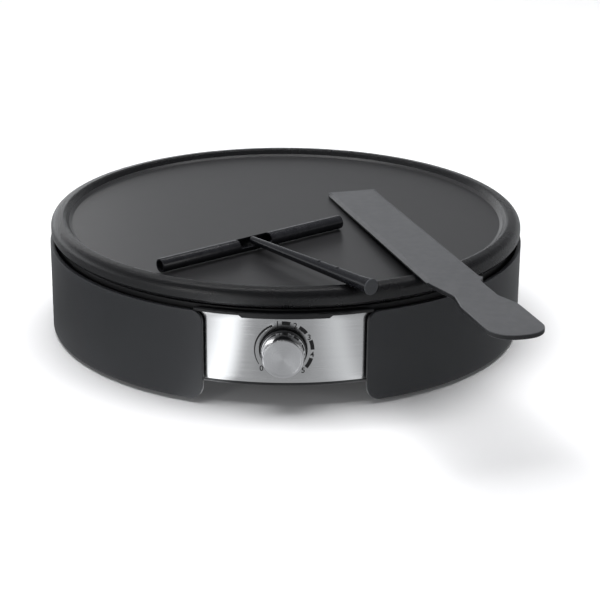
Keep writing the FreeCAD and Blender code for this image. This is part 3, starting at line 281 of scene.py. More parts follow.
def turned(name, profile, material, segments):
    """A lathe piece from a profile in metres, a full turn about Z."""
    points = [(r, 0, up) for r, up in profile]
    mesh = bpy.data.meshes.new(name)
    mesh.from_pydata(points, [(i, i + 1) for i in range(len(points) - 1)], [])
    piece = new_object(name, mesh)
    run_tree(piece, LATHE, {"Segments": segments, "Material": material})
    tidy_mesh(piece.data)
    return piece


def settle(piece, matrix):
    piece.data.transform(matrix)
    piece.data.update()
    return piece


def dressed(piece, *materials):
    """The piece with these materials in place of any it had."""
    piece.data.materials.clear()
    for material in materials:
        piece.data.materials.append(material)
    return piece


def walled(piece, thickness, bevel, segments):
    """A sheet given its thickness inwards and its edges a bevel."""
    wall = piece.modifiers.new("wall", "SOLIDIFY")
    wall.thickness = thickness
    wall.offset = -1
    edge = piece.modifiers.new("edge", "BEVEL")
    edge.width = bevel
    edge.segments = segments
    edge.limit_method = "ANGLE"
    edge.angle_limit = BEVEL_ABOVE
    baked(piece)
    tidy_mesh(piece.data)
    return piece


def ride(piece, body, slot, *nodes):
    """Puts a finished piece on its body, in place of the nodes it shows; its slot is not used."""
    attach(piece, body)
    if nodes:
        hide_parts(*nodes)
    return piece


# Shader helpers


def group_tree(name, inputs, outputs):
    tree = bpy.data.node_groups.new(name, "ShaderNodeTree")
    for label, value in inputs:
        kind = "NodeSocketColor" if isinstance(value, tuple) else "NodeSocketFloat"
        made = tree.interface.new_socket(label, in_out="INPUT", socket_type=kind)
        made.default_value = (*value, 1.0) if isinstance(value, tuple) else value
    for label, kind in outputs:
        tree.interface.new_socket(label, in_out="OUTPUT", socket_type=kind)
    return tree, tree.nodes.new("NodeGroupInput"), tree.nodes.new("NodeGroupOutput")


def noise(tree, scale, detail=2.0, roughness=0.5, stretch=None):
    """Noise on Object coordinates, in features per metre, stretched if asked."""
    source = tree.nodes.new("ShaderNodeTexCoord").outputs["Object"]
    if stretch:
        mapping = tree.nodes.new("ShaderNodeMapping")
        mapping.inputs["Scale"].default_value = stretch
        tree.links.new(source, mapping.inputs["Vector"])
        source = mapping.outputs[0]
    texture = tree.nodes.new("ShaderNodeTexNoise")
    texture.inputs["Detail"].default_value = detail
    texture.inputs["Roughness"].default_value = roughness
    texture.inputs["Scale"].default_value = scale
    tree.links.new(source, texture.inputs["Vector"])
    return texture.outputs["Fac"]


def spread(tree, value, low, high, from_low=0.3, from_high=0.7):
    """A value's span between two levels, laid on another span and held at its ends."""
    step = tree.nodes.new("ShaderNodeMapRange")
    step.inputs["From Min"].default_value = from_low
    step.inputs["From Max"].default_value = from_high
    for label, end in (("To Min", low), ("To Max", high)):
        if isinstance(end, (int, float)):
            step.inputs[label].default_value = end
        else:
            tree.links.new(end, step.inputs[label])
    tree.links.new(value, step.inputs["Value"])
    return step.outputs[0]


def tinted(tree, colour, factor):
    """A colour times a value near one."""
    mix = tree.nodes.new("ShaderNodeVectorMath")
    mix.operation = "SCALE"
    tree.links.new(colour, mix.inputs[0])
    tree.links.new(factor, mix.inputs["Scale"])
    return mix.outputs[0]


def moulded_grain_group():
    """Fine moulded texture: colour drift, roughness drift and a bumpy height."""
    tree, given, result = group_tree(
        "moulded_grain",
        [("Color", (0.1, 0.1, 0.1)), ("Drift", 0.1), ("Roughness", 0.45), ("Grain", 1.0)],
        [
            ("Color", "NodeSocketColor"),
            ("Roughness", "NodeSocketFloat"),
            ("Height", "NodeSocketFloat"),
        ],
    )
    link = tree.links.new
    cloud = noise(tree, 22.0, 3.0)
    low = maths(tree, "SUBTRACT", 1.0, given.outputs["Drift"])
    high = maths(tree, "ADD", 1.0, given.outputs["Drift"])
    link(tinted(tree, given.outputs["Color"], spread(tree, cloud, low, high)), result.inputs["Color"])
    haze = noise(tree, 60.0, 2.0)
    rough_low = maths(tree, "MULTIPLY", given.outputs["Roughness"], 0.98)
    rough_high = maths(tree, "MULTIPLY", given.outputs["Roughness"], 1.02)
    link(spread(tree, haze, rough_low, rough_high), result.inputs["Roughness"])
    fine = noise(tree, 2600.0, 2.0)
    link(maths(tree, "MULTIPLY", fine, given.outputs["Grain"]), result.inputs["Height"])
    return tree


def wear_group():
    """Lightening along convex edges, from the surface's pointiness."""
    tree, given, result = group_tree(
        "edge_wear",
        [("Color", (0.1, 0.1, 0.1)), ("Worn", (0.3, 0.3, 0.3)), ("Amount", 0.3)],
        [("Color", "NodeSocketColor")],
    )
    shape = tree.nodes.new("ShaderNodeNewGeometry")
    edge = spread(tree, shape.outputs["Pointiness"], 0.0, 1.0, 0.505, 0.56)
    patch = spread(tree, noise(tree, 180.0, 3.0), 0.3, 1.0)
    amount = maths(tree, "MULTIPLY", maths(tree, "MULTIPLY", edge, patch), given.outputs["Amount"])
    mix = tree.nodes.new("ShaderNodeMix")
    mix.data_type = "RGBA"
    tree.links.new(amount, mix.inputs[0])
    tree.links.new(given.outputs["Color"], mix.inputs[6])
    tree.links.new(given.outputs["Worn"], mix.inputs[7])
    tree.links.new(mix.outputs[2], result.inputs["Color"])
    return tree


def new_material(name):
    material = bpy.data.materials.new(name)
    material.use_nodes = True
    tree = material.node_tree
    shader = tree.nodes["Principled BSDF"]
    return material, tree, shader


def use_group(tree, group, **values):
    node = tree.nodes.new("ShaderNodeGroup")
    node.node_tree = group
    for label, value in values.items():
        socket = node.inputs[label]
        socket.default_value = (*value, 1.0) if isinstance(value, tuple) else value
    return node


def add_bump(tree, shader, height, distance):
    bump = tree.nodes.new("ShaderNodeBump")
    bump.inputs["Distance"].default_value = distance
    bump.inputs["Strength"].default_value = 1.0
    tree.links.new(height, bump.inputs["Height"])
    tree.links.new(bump.outputs[0], shader.inputs["Normal"])


def moulded(name, colour, roughness, grain, drift=0.06, worn=None):
    """A moulded or cast surface with grain, drift and lightly worn edges."""
    material, tree, shader = new_material(name)
    base = use_group(tree, GRAIN, Color=colour, Drift=drift, Roughness=roughness, Grain=1.0)
    colour_out = base.outputs["Color"]
    if worn:
        edge = use_group(tree, WEAR, Worn=worn, Amount=0.35)
        tree.links.new(colour_out, edge.inputs["Color"])
        colour_out = edge.outputs["Color"]
    tree.links.new(colour_out, shader.inputs["Base Color"])
    tree.links.new(base.outputs["Roughness"], shader.inputs["Roughness"])
    add_bump(tree, shader, base.outputs["Height"], grain)
    return material


def coating_material(name, colour, roughness, pebble, pebble_scale, flecks):
    """Sprayed non-stick coating: fine pebbling, faint mineral flecks and wiping haze."""
    material, tree, shader = new_material(name)
    base = use_group(tree, GRAIN, Color=colour, Drift=0.01, Roughness=roughness, Grain=0.35)
    fleck = spread(tree, noise(tree, 3200.0, 1.0), 1.0, 1.0 + flecks, 0.62, 0.75)
    tree.links.new(tinted(tree, base.outputs["Color"], fleck), shader.inputs["Base Color"])
    haze = noise(tree, 7.0, 2.0, stretch=(1.0, 0.6, 1.0))
    wipe = maths(tree, "MULTIPLY", base.outputs["Roughness"], spread(tree, haze, 0.98, 1.02))
    tree.links.new(wipe, shader.inputs["Roughness"])
    stones = noise(tree, pebble_scale, 3.0, 0.6)
    height = maths(tree, "ADD", stones, maths(tree, "MULTIPLY", base.outputs["Height"], 0.3))
    add_bump(tree, shader, height, pebble)
    return material


def paint_metal(tree, shader, colour, shade):
    """A bare metal whose colour is varied by a shade near one."""
    paint = tree.nodes.new("ShaderNodeRGB")
    paint.outputs[0].default_value = (*colour, 1.0)
    tree.links.new(tinted(tree, paint.outputs[0], shade), shader.inputs["Base Color"])
    shader.inputs["Metallic"].default_value = 1.0


def brushed_steel(name, colour, roughness, stretch, depth=0.00002, contrast=1.0, tangent=""):
    """Metal brushed along one direction, with a streaked sheen where a UV map is named."""
    material, tree, shader = new_material(name)
    lines = noise(tree, 1.0, 4.0, 0.65, stretch=stretch)
    broad = noise(tree, 9.0, 3.0)
    lined = spread(tree, lines, 1 - 0.14 * contrast, 1 + 0.08 * contrast)
    shade = maths(tree, "MULTIPLY", lined, spread(tree, broad, 0.98, 1.02))
    paint_metal(tree, shader, colour, shade)
    tree.links.new(spread(tree, lines, roughness * 0.8, roughness * 1.25), shader.inputs["Roughness"])
    if tangent:
        shader.inputs["Anisotropic"].default_value = 0.75
        shader.inputs["Anisotropic Rotation"].default_value = 0.25
        along = tree.nodes.new("ShaderNodeTangent")
        along.direction_type = "UV_MAP"
        along.uv_map = tangent
        tree.links.new(along.outputs[0], shader.inputs["Tangent"])
    add_bump(tree, shader, lines, depth)
    return material


def spun_metal(name, colour, roughness):
    """A face turned on a lathe: rings about the dial's axis and a radial sheen."""
    material, tree, shader = new_material(name)
    source = tree.nodes.new("ShaderNodeTexCoord").outputs["Object"]
    mapping = tree.nodes.new("ShaderNodeMapping")
    mapping.inputs["Location"].default_value = (0, 0, -DIAL_Z)
    tree.links.new(source, mapping.inputs["Vector"])
    split = tree.nodes.new("ShaderNodeSeparateXYZ")
    tree.links.new(mapping.outputs[0], split.inputs[0])
    across, up = split.outputs[0], split.outputs[2]
    reach = maths(tree, "SQRT", maths(
        tree, "ADD", maths(tree, "MULTIPLY", across, across), maths(tree, "MULTIPLY", up, up)
    ))
    ring = tree.nodes.new("ShaderNodeTexNoise")
    ring.noise_dimensions = "1D"
    ring.inputs["Scale"].default_value = 5200.0
    ring.inputs["Detail"].default_value = 3.0
    tree.links.new(reach, ring.inputs["W"])
    lines = ring.outputs["Fac"]
    paint_metal(tree, shader, colour, spread(tree, lines, 0.9, 1.06))
    tree.links.new(spread(tree, lines, roughness * 0.85, roughness * 1.2), shader.inputs["Roughness"])
    shader.inputs["Anisotropic"].default_value = 0.85
    shader.inputs["Anisotropic Rotation"].default_value = 0.25
    tangent = tree.nodes.new("ShaderNodeTangent")
    tangent.direction_type = "RADIAL"
    tangent.axis = "Y"
    tree.links.new(tangent.outputs[0], shader.inputs["Tangent"])
    add_bump(tree, shader, lines, 0.000004)
    return material


def polished(name, colour, roughness):
    """Bright plating with faint fingerprints in its gloss."""
    material, tree, shader = new_material(name)
    smear = noise(tree, 140.0, 4.0)
    paint_metal(tree, shader, colour, spread(tree, smear, 0.97, 1.02))
    tree.links.new(spread(tree, smear, roughness * 0.7, roughness * 1.5), shader.inputs["Roughness"])
    return material


BRUSHING = "brushing"


def make_materials():
    shell_worn = (0.07, 0.07, 0.075)
    utensil_worn = (0.05, 0.05, 0.055)
    spatula_worn = (0.12, 0.12, 0.125)
    fine_lines = (16.0, 16.0, 4200.0)
    even_lines = (300.0, 300.0, 300.0)
    return {
        "plate_top": coating_material(
            "plate_top_coating", (0.020, 0.020, 0.021), 0.3, 0.00002, 1500.0, 0.35
        ),
        "plate_rim": coating_material(
            "plate_rim_coating", (0.006, 0.006, 0.0068), 0.27, 0.00022, 900.0, 0.3
        ),
        "housing": moulded("housing_black_plastic", (0.006, 0.0062, 0.0075), 0.5, 0.00002),
        "shell": moulded(
            "shell_charcoal_plastic", (0.019, 0.0203, 0.0232), 0.4, 0.000012, worn=shell_worn
        ),
        "panel": brushed_steel(
            "panel_brushed_steel", (0.73, 0.73, 0.73), 0.22, fine_lines, 0.000004, 0.5, BRUSHING
        ),
        "knob_core": moulded("knob_black_plastic", (0.012, 0.0125, 0.014), 0.3, 0.000008),
        "chrome": polished("knob_chrome", (0.78, 0.78, 0.79), 0.07),
        "disc": spun_metal("knob_spun_face", (0.86, 0.86, 0.87), 0.26),
        "ink": moulded("dial_ink", (0.008, 0.008, 0.008), 0.5, 0.000004),
        "cap": moulded("spreader_cap_nylon", (0.04, 0.042, 0.047), 0.4, 0.000015),
        "utensil": moulded(
            "spreader_nylon", (0.006, 0.0064, 0.0085), 0.24, 0.000015, worn=utensil_worn
        ),
        "spatula": moulded(
            "spatula_nylon", (0.05, 0.052, 0.056), 0.42, 0.00001, 0.02, worn=spatula_worn
        ),
        # Painted shade: the spatula's nylon made darker for its side walls
        "spatula_side_shade": moulded("spatula_nylon_painted_side_shade", (0.01, 0.0105, 0.012), 0.5, 0.00001, 0.02),
        "rubber": moulded("foot_rubber", (0.012, 0.012, 0.012), 0.75, 0.00003),
        "zinc": brushed_steel("zinc_plating", (0.55, 0.55, 0.56), 0.4, even_lines),
        "shield": brushed_steel("aluminised_sheet", (0.6, 0.61, 0.62), 0.45, (60.0, 60.0, 60.0)),
        "sheath": brushed_steel("element_sheath", (0.22, 0.21, 0.2), 0.5, (200.0, 200.0, 200.0)),
        "brass": brushed_steel("stamped_brass", (0.6, 0.45, 0.2), 0.35, even_lines),
        "ceramic": moulded("steatite", (0.62, 0.59, 0.53), 0.7, 0.00003),
        "nylon": moulded("block_nylon", (0.6, 0.58, 0.53), 0.5, 0.00002),
    }


NODE_FINISH = {
    "housing": ("base_housing", "cord_gland", "gland_nut"),
    "plate_rim": ("griddle_plate",),
    "panel": ("front_panel",),
    "shell": ("left_side_shell", "right_side_shell"),
    "rubber": ("foot_front_left", "foot_front_right", "foot_rear_left", "foot_rear_right"),
    "knob_core": ("control_knob", "knob_pointer"),
    "chrome": ("knob_skirt",),
    "disc": ("knob_face_disc",),
    "utensil": ("spreader_head", "spreader_handle", "spreader_end_cap"),
    "spatula": ("spatula",),
    "sheath": ("heating_element",),
    "shield": ("heat_shield",),
    "brass": ("thermostat_blades", "earth_tab"),
    "ceramic": ("element_insulator_left", "element_insulator_right", "thermostat_body"),
    "nylon": ("terminal_block", "thermal_fuse"),
}


def paint_nodes(finishes):
    """Every node of the frame gets a finish; what isn't listed is zinc plated."""
    chosen = {node: finish for finish, nodes in NODE_FINISH.items() for node in nodes}
    for name, node in NODES.items():
        dressed(node, finishes[chosen.get(name, "zinc")])


# Griddle plate


PLATE_BASE = 68.7
PLATE_BASE_EDGE = 71.2
PLATE_BASE_INSIDE = 70.5
PLATE_LIP = 6.8


def plate_profile():
    """Half of the casting's section in millimetres: the flat, the step, the crown and the rim."""
    top = RIM_TOP / MM
    cook = COOK_LEVEL / MM
    edge = PLATE_R / MM
    flat = COOK_R / MM
    return [
        (0, cook),
        (flat, cook, 0.7),
        (flat + 2.0, cook + 1.3, 0.7),
        (flat + 4.3, top - 0.6, 1.2),
        (edge - 8.6, top, 3.0),
        (edge, top - 0.9, 6.0),
        (edge, PLATE_BASE_EDGE, 1.2),
        (edge - 1.8, PLATE_BASE, 0.6),
        (edge - PLATE_LIP, PLATE_BASE, 0.6),
        (edge - PLATE_LIP, PLATE_BASE_INSIDE),
        (0, PLATE_BASE_INSIDE),
    ]


FACES_UP = 0.5
COAT_STEP = 2.5 * MM


def make_plate(m):
    """The casting; the pebbled coat of the rim meets the smooth top at the step."""
    profile = rounded(plate_profile(), steps=8)
    piece = turned("plate_casting", profile, m["plate_rim"], segments=288)
    dressed(piece, m["plate_rim"], m["plate_top"])
    for face in piece.data.polygons:
        reach = math.hypot(face.center.x, face.center.y)
        if face.normal.z > FACES_UP and reach < COOK_R + COAT_STEP:
            face.material_index = 1
    return ride(piece, "base", "coating", "griddle_plate")


# Housing


def visor_place(point):
    """Where a point of the visor belongs: its ends under the shells, its edge higher."""
    reach = math.hypot(point.x, point.y)
    if reach < HOUSING_R + VISOR_STAND_OFF or point.y > 0:
        return point
    angle = math.atan2(point.x, -point.y)
    if abs(angle) > VISOR_CORNER_ANGLE:
        angle = math.copysign(VISOR_HALF_ANGLE, angle)
    up = point.z + (PANEL_RAISE if point.z < HOUSING_HIGH.z - VISOR_EDGE_BAND else 0)
    return Vector((reach * math.sin(angle), -reach * math.cos(angle), up))


def make_housing(m):
    """The moulded housing, its visor's edge set to the photograph."""
    mesh = NODES["base_housing"].data.copy()
    mesh.transform(NODES["base_housing"].matrix_world)
    piece = new_object("housing_moulding", tidy_mesh(mesh, COARSE_WELD))
    for vertex in mesh.vertices:
        vertex.co = visor_place(vertex.co)
    tidy_mesh(mesh, COARSE_WELD)
    return ride(dressed(piece, m["housing"]), "base", "housing_black", "base_housing")


# Side shells


SHELL_COLUMNS = 96
SHELL_ROWS = 18
CORNER_STEPS = 10


def shell_stations(length):
    """Places along the shell's arc, closer together where its corners are round."""
    inner = SHELL_BOTTOM_ROUND
    turns = [QUARTER * k / CORNER_STEPS for k in range(CORNER_STEPS + 1)]
    corner = [inner * (1 - math.cos(a)) for a in turns]
    middle = SHELL_COLUMNS - 2 * CORNER_STEPS
    stations = [-length + c for c in corner]
    stations += [-length + inner + (2 * length - 2 * inner) * k / middle for k in range(1, middle)]
    return stations + [length - c for c in reversed(corner)]


def shell_grid(half):
    """The shell's outer face as a grid, rounded at its four corners."""
    length = half * SHELL_R
    stations = shell_stations(length)
    rows = SHELL_ROWS
    points = []
    for s in stations:
        near = length - abs(s)
        bottom = SHELL_LOW.z + corner_rise(near, SHELL_BOTTOM_ROUND)
        top = SHELL_HIGH.z - corner_rise(near, SHELL_TOP_ROUND)
        angle = s / SHELL_R
        for k in range(rows):
            up = bottom + (top - bottom) * k / (rows - 1)
            points.append((SHELL_R * math.cos(angle), SHELL_R * math.sin(angle), up))
    faces = []
    for i in range(len(stations) - 1):
        for k in range(rows - 1):
            a = i * rows + k
            faces.append((a, a + rows, a + rows + 1, a + 1))
    return points, faces


def corner_rise(near, radius):
    """How far a rounded corner lies in from the straight edge, this near the shell's end."""
    if near >= radius:
        return 0.0
    return radius - math.sqrt(max(0.0, radius ** 2 - (radius - near) ** 2))


def make_shell(name, turn, half, m):
    points, faces = shell_grid(half)
    piece = new_object(name, mesh_from(name, points, faces))
    walled(piece, SHELL_WALL, SHELL_BEVEL, 3)
    dressed(piece, m["shell"])
    return settle(piece, Matrix.Rotation(turn, 4, "Z"))


def make_shells(m):
    """The right shell, and the left one whose front edge lies a little nearer the dial."""
    half = QUARTER - SHELL_EDGE_ANGLE
    more = (SHELL_EDGE_ANGLE - SHELL_EDGE_LEFT) / 2
    ride(make_shell("shell_right", 0.0, half, m), "base", "shell_grey", "right_side_shell")
    left = make_shell("shell_left", math.pi + more, half + more, m)
    ride(left, "base", "shell_grey", "left_side_shell")


# Front panel


def bend(point, radius):
    """A developed point (along, up) on a cylinder of that radius, facing the user."""
    angle = point[0] / PANEL_R
    return Vector((radius * math.sin(angle), -radius * math.cos(angle), point[1]))


PANEL_RING = 72
PANEL_SIDE_COLUMNS = 14


def opening_rings():
    """The dial's round opening and the square about it, point by point."""
    around, outer = [], []
    for k in range(PANEL_RING):
        a = FULL_TURN * k / PANEL_RING
        around.append((PANEL_OPENING * math.cos(a), DIAL_Z + PANEL_OPENING * math.sin(a)))
        reach = PANEL_SQUARE / max(abs(math.cos(a)), abs(math.sin(a)))
        outer.append((reach * math.cos(a), DIAL_Z + reach * math.sin(a)))
    return around, outer


def panel_mesh():
    work = bmesh.new()
    around, outer = opening_rings()
    near = [work.verts.new(bend(p, PANEL_R)) for p in around]
    far = [work.verts.new(bend(p, PANEL_R)) for p in outer]
    for k in range(PANEL_RING):
        j = (k + 1) % PANEL_RING
        work.faces.new((near[k], near[j], far[j], far[k]))
    fill_panel(work, outer)
    mesh = bpy.data.meshes.new("front_sheet")
    work.to_mesh(mesh)
    work.free()
    return tidy_mesh(mesh, COARSE_WELD)


def make_panel(m):
    """Brushed sheet bent to the housing, with the dial's opening cut through."""
    piece = new_object("front_sheet", panel_mesh())
    walled(piece, PANEL_THICK, PANEL_BEVEL, 2)
    dressed(piece, m["panel"])
    layer = piece.data.uv_layers.new(name=BRUSHING)
    for loop, spot in zip(piece.data.loops, layer.data):
        point = piece.data.vertices[loop.vertex_index].co
        spot.uv = (math.atan2(point.x, -point.y) * PANEL_R, point.z)
    return ride(piece, "base", "brushed_panel", "front_panel")


def fill_panel(work, outer):
    """Quads from the square round the opening out to the sheet's edges."""
    half = PANEL_HALF_ANGLE * PANEL_R
    square = PANEL_SQUARE
    columns = PANEL_SIDE_COLUMNS
    xs = sorted({round(p[0], 7) for p in outer})
    left = [-half + (half - square) * k / columns for k in range(columns)]
    across = left + xs + [-x for x in reversed(left)]
    ups = sorted({round(p[1], 7) for p in outer})
    heights = [PANEL_LOW.z] + ups + [PANEL_HIGH.z + PANEL_RAISE]
    grid = {}

    def vert(x, up):
        key = (round(x, 7), round(up, 7))
        if key not in grid:
            grid[key] = work.verts.new(bend((x, up), PANEL_R))
        return grid[key]

    for i in range(len(across) - 1):
        for k in range(len(heights) - 1):
            x0, x1 = across[i], across[i + 1]
            z0, z1 = heights[k], heights[k + 1]
            middle_x, middle_z = (x0 + x1) / 2, (z0 + z1) / 2
            if abs(middle_x) < square and abs(middle_z - DIAL_Z) < square:
                continue
            if x1 - x0 < WELD or z1 - z0 < WELD:
                continue
            work.faces.new((vert(x0, z0), vert(x1, z0), vert(x1, z1), vert(x0, z1)))


# Dial markings


DIAL_RADIUS = 18.6 * MM
NUMERAL_HEIGHT = 3.7 * MM
# Numerals and bars stand at degrees clockwise from the top of the dial
NUMERALS = (("0", -132.0), ("1", -11.5), ("2", 24.0), ("3", 61.5), ("4", 99.0), ("5", 137.0))
BARS = ((-3.0, 13.5), (33.0, 51.5), (69.0, 89.0), (107.0, 128.5))
BAR_WIDTH = 2.5 * MM
BAR_STEPS = 18
TAPER = (-122.0, -23.0, 0.45 * MM, 1.45 * MM)
TAPER_RADIUS = DIAL_RADIUS - 0.4 * MM
TAPER_STEPS = 60
PRINT_LIFT = 0.04 * MM
PRINT_THICK = 0.03 * MM
FONT_TO_HEIGHT = 1.38
NUMERAL_WEIGHT = 0.02


def on_panel(across, up):
    """A point of the print, laid on the sheet's curve."""
    reach = PANEL_R + PRINT_LIFT
    return Vector((across, -math.sqrt(reach ** 2 - across ** 2), DIAL_Z + up))


def dial_point(radius, clock):
    a = math.radians(clock)
    return radius * math.sin(a), radius * math.cos(a)


def bar_faces(points, faces, start, end, width_start, width_end, radius, steps):
    """One printed bar along the dial's circle, raised a hair over the sheet."""
    base = len(points)
    for k in range(steps + 1):
        share = k / steps
        clock = start + (end - start) * share
        half = (width_start + (width_end - width_start) * share) / 2
        for reach in (radius - half, radius + half):
            points.append(on_panel(*dial_point(reach, clock)))
    for k in range(steps):
        a = base + 2 * k
        faces.append((a, a + 1, a + 3, a + 2))


def make_print(m):
    points, faces = [], []
    for start, end in BARS:
        bar_faces(points, faces, start, end, BAR_WIDTH, BAR_WIDTH, DIAL_RADIUS, BAR_STEPS)
    start, end, thin, thick = TAPER
    bar_faces(points, faces, start, end, thin, thick, TAPER_RADIUS, TAPER_STEPS)
    bars = new_object("dial_bars", mesh_from("dial_bars", points, faces))
    thicken_print(bars, m)
    ride(bars, "base", "knob_black")
    for digit, clock in NUMERALS:
        ride(make_numeral(digit, clock, m), "base", "knob_black")


def make_numeral(digit, clock, m):
    words = bpy.data.curves.new(f"numeral_{digit}", "FONT")
    words.body = digit
    words.align_x = "CENTER"
    words.align_y = "CENTER"
    words.size = NUMERAL_HEIGHT * FONT_TO_HEIGHT
    words.offset = NUMERAL_HEIGHT * NUMERAL_WEIGHT
    words.resolution_u = 6
    letter = new_object(f"numeral_{digit}", words)
    bpy.context.view_layer.update()
    graph = bpy.context.evaluated_depsgraph_get()
    mesh = bpy.data.meshes.new_from_object(letter.evaluated_get(graph))
    bpy.data.objects.remove(letter)
    middle_x, middle_y = dial_point(DIAL_RADIUS, clock)
    xs = [v.co.x for v in mesh.vertices]
    ys = [v.co.y for v in mesh.vertices]
    shift_x = (max(xs) + min(xs)) / 2
    shift_y = (max(ys) + min(ys)) / 2
    for vertex in mesh.vertices:
        across = vertex.co.x - shift_x + middle_x
        up = vertex.co.y - shift_y + middle_y
        vertex.co = on_panel(across, up)
    piece = new_object(f"numeral_{digit}", mesh)
    thicken_print(piece, m)
    return piece


def thicken_print(piece, m):
    tidy_mesh(piece.data)
    wall = piece.modifiers.new("ink", "SOLIDIFY")
    wall.thickness = PRINT_THICK
    wall.offset = 0
    baked(piece)
    tidy_mesh(piece.data)
    dressed(piece, m["ink"])


# Knob


def at_dial():
    """Lays a piece turned about Z so that +Z points to the user at the dial."""
    return Matrix.Translation((0, 0, DIAL_Z)) @ Matrix.Rotation(QUARTER, 4, "X")


KNOB_SEGMENTS = 144
KNOB_INSET = 1.1
FACE_DISH = 0.06
SEAM = 0.05


def make_knob(m):
    """The black core with its collar, the chrome ring and the spun face, from the frame's sizes."""
    back, front = -COLLAR_HIGH.y / MM, -DISC_LOW.y / MM
    skirt_back, skirt_front = -SKIRT_HIGH.y / MM, -SKIRT_LOW.y / MM
    collar_r, base_r, disc_r = COLLAR_HIGH.x / MM, SKIRT_HIGH.x / MM, DISC_HIGH.x / MM
    bore = disc_r - KNOB_INSET
    collar = turned("knob_collar", rounded([
        (0, back + 1.5),
        (collar_r - 3.4, back + 1.5, 0.3),
        (collar_r - 2.6, back, 0.3),
        (collar_r, back, 0.4),
        (collar_r, skirt_back, 0.4),
        (bore, skirt_back),
        (bore, front - 1.2),
        (0, front - 1.2),
    ]), m["knob_core"], KNOB_SEGMENTS)
    ride(settle(collar, at_dial()), "knob", "knob_black", "control_knob")
    skirt = turned("knob_chrome_ring", rounded([
        (disc_r - 1.0, skirt_back + SEAM),
        (base_r, skirt_back + SEAM, 0.3),
        (disc_r + 0.3, skirt_front, 0.25),
        (disc_r + 0.12, skirt_front, 0.1),
        (disc_r + 0.1, front - 1.15),
        (disc_r - 1.0, front - 1.15),
        (disc_r - 1.0, skirt_back + SEAM),
    ]), m["chrome"], KNOB_SEGMENTS)
    ride(settle(skirt, at_dial()), "knob", "knob_chrome", "knob_skirt")
    disc = turned("knob_face", rounded([
        (0, front - KNOB_INSET),
        (disc_r, front - KNOB_INSET),
        (disc_r, front, 0.3),
        (disc_r - 1.4, front, 0.2),
        (disc_r - 1.5, front - FACE_DISH, 0.1),
        (0, front - FACE_DISH),
    ], steps=4), m["disc"], KNOB_SEGMENTS)
    ride(settle(disc, at_dial()), "knob", "knob_disc", "knob_face_disc")


# Batter spreader; its lengths below are in millimetres

TUBE_SEGMENTS = 64
SADDLE_CUT = -0.5
SADDLE_HALF = 13.0
SADDLE_ROUND = 1.6
SADDLE_TOP = 9.0
SADDLE_FRONT, SADDLE_BACK = -8.0, 2.2
TIP_CLEARANCE = 0.1
TIP_R = 2.5
HANDLE_START, HANDLE_END = -0.8, 121.4
HANDLE_LEAN = 1.15
HANDLE_SEGMENTS = 72
CAP_R = 5.2
CAP_PLUG_R = 3.6
CAP_THICK = 1.6
CAP_SEAM = 0.15
# Each nub's place along the handle and the rod's radius there
NUBS = ((70.5, 3.62), (89.0, 3.95))
NUB_R = 1.2
NUB_HEIGHT = 0.4
NUB_SEGMENTS = 32


def head_matrix():
    up = Matrix.Translation((HEAD_CENTRE.x, HEAD_CENTRE.y, HEAD_LOW.z + HEAD_R))
    return up @ Matrix.Rotation(HEAD_TURN, 4, "Z")


def make_spreader_head(m):
    """A tube whose middle is cut open to a saddle for the handle's tip."""
    half = HEAD_LENGTH / 2 / MM
    outer, inner = HEAD_R / MM, HEAD_BORE / MM
    tube = turned("spreader_tube", rounded([
        (inner, -half),
        (outer, -half, 0.45),
        (outer, half, 0.45),
        (inner, half, 0.3),
        (inner, -half),
    ], steps=4), m["utensil"], TUBE_SEGMENTS)
    settle(tube, Matrix.Rotation(QUARTER, 4, "Y"))
    cutter = saddle_cutter()
    cut = tube.modifiers.new("saddle", "BOOLEAN")
    cut.operation = "DIFFERENCE"
    cut.object = cutter
    baked(tube)
    bpy.data.objects.remove(cutter)
    tidy_mesh(tube.data, COARSE_WELD)
    settle(dressed(tube, m["utensil"]), head_matrix())
    return ride(tube, "spreader", "utensil_black", "spreader_head")


def saddle_cutter():
    """A block with rounded lower edges, which opens the tube's front and leaves its rear wall."""
    outline = rounded([
        (-SADDLE_HALF, SADDLE_CUT, SADDLE_ROUND),
        (SADDLE_HALF, SADDLE_CUT, SADDLE_ROUND),
        (SADDLE_HALF, SADDLE_TOP),
        (-SADDLE_HALF, SADDLE_TOP),
    ], closed=True)
    count = len(outline)
    points = [(x, side * MM, up) for side in (SADDLE_FRONT, SADDLE_BACK) for x, up in outline]
    faces = [tuple(range(count)), tuple(reversed(range(count, 2 * count)))]
    faces += [(k, (k + 1) % count, (k + 1) % count + count, k + count) for k in range(count)]
    return new_object("saddle_cutter", tidy_mesh(mesh_from("saddle_cutter", points, faces)))


def handle_matrix():
    """Lays a piece turned about Z along the handle, which leans onto the plate's rim."""
    seat = HEAD_LOW.z + HEAD_R + (SADDLE_CUT + TIP_CLEARANCE + TIP_R) * MM
    along = Matrix.Rotation(HEAD_TURN - QUARTER, 4, "Z")
    lean = Matrix.Rotation(math.radians(90 - HANDLE_LEAN), 4, "Y")
    return Matrix.Translation((HEAD_CENTRE.x, HEAD_CENTRE.y, seat)) @ along @ lean


def make_nub(number, reach, surface, m):
    """One of the two small nubs on top of the handle, sunk into the rod."""
    nub = turned(f"spreader_nub_{number}", rounded([
        (0, surface - 1.0),
        (NUB_R, surface - 1.0),
        (NUB_R, surface + NUB_HEIGHT, 0.35),
        (0, surface + NUB_HEIGHT),
    ]), m["utensil"], NUB_SEGMENTS)
    upright = Matrix.Rotation(-QUARTER, 4, "Y")
    settle(nub, handle_matrix() @ Matrix.Translation((0, 0, reach * MM)) @ upright)
    ride(nub, "spreader", "utensil_black")


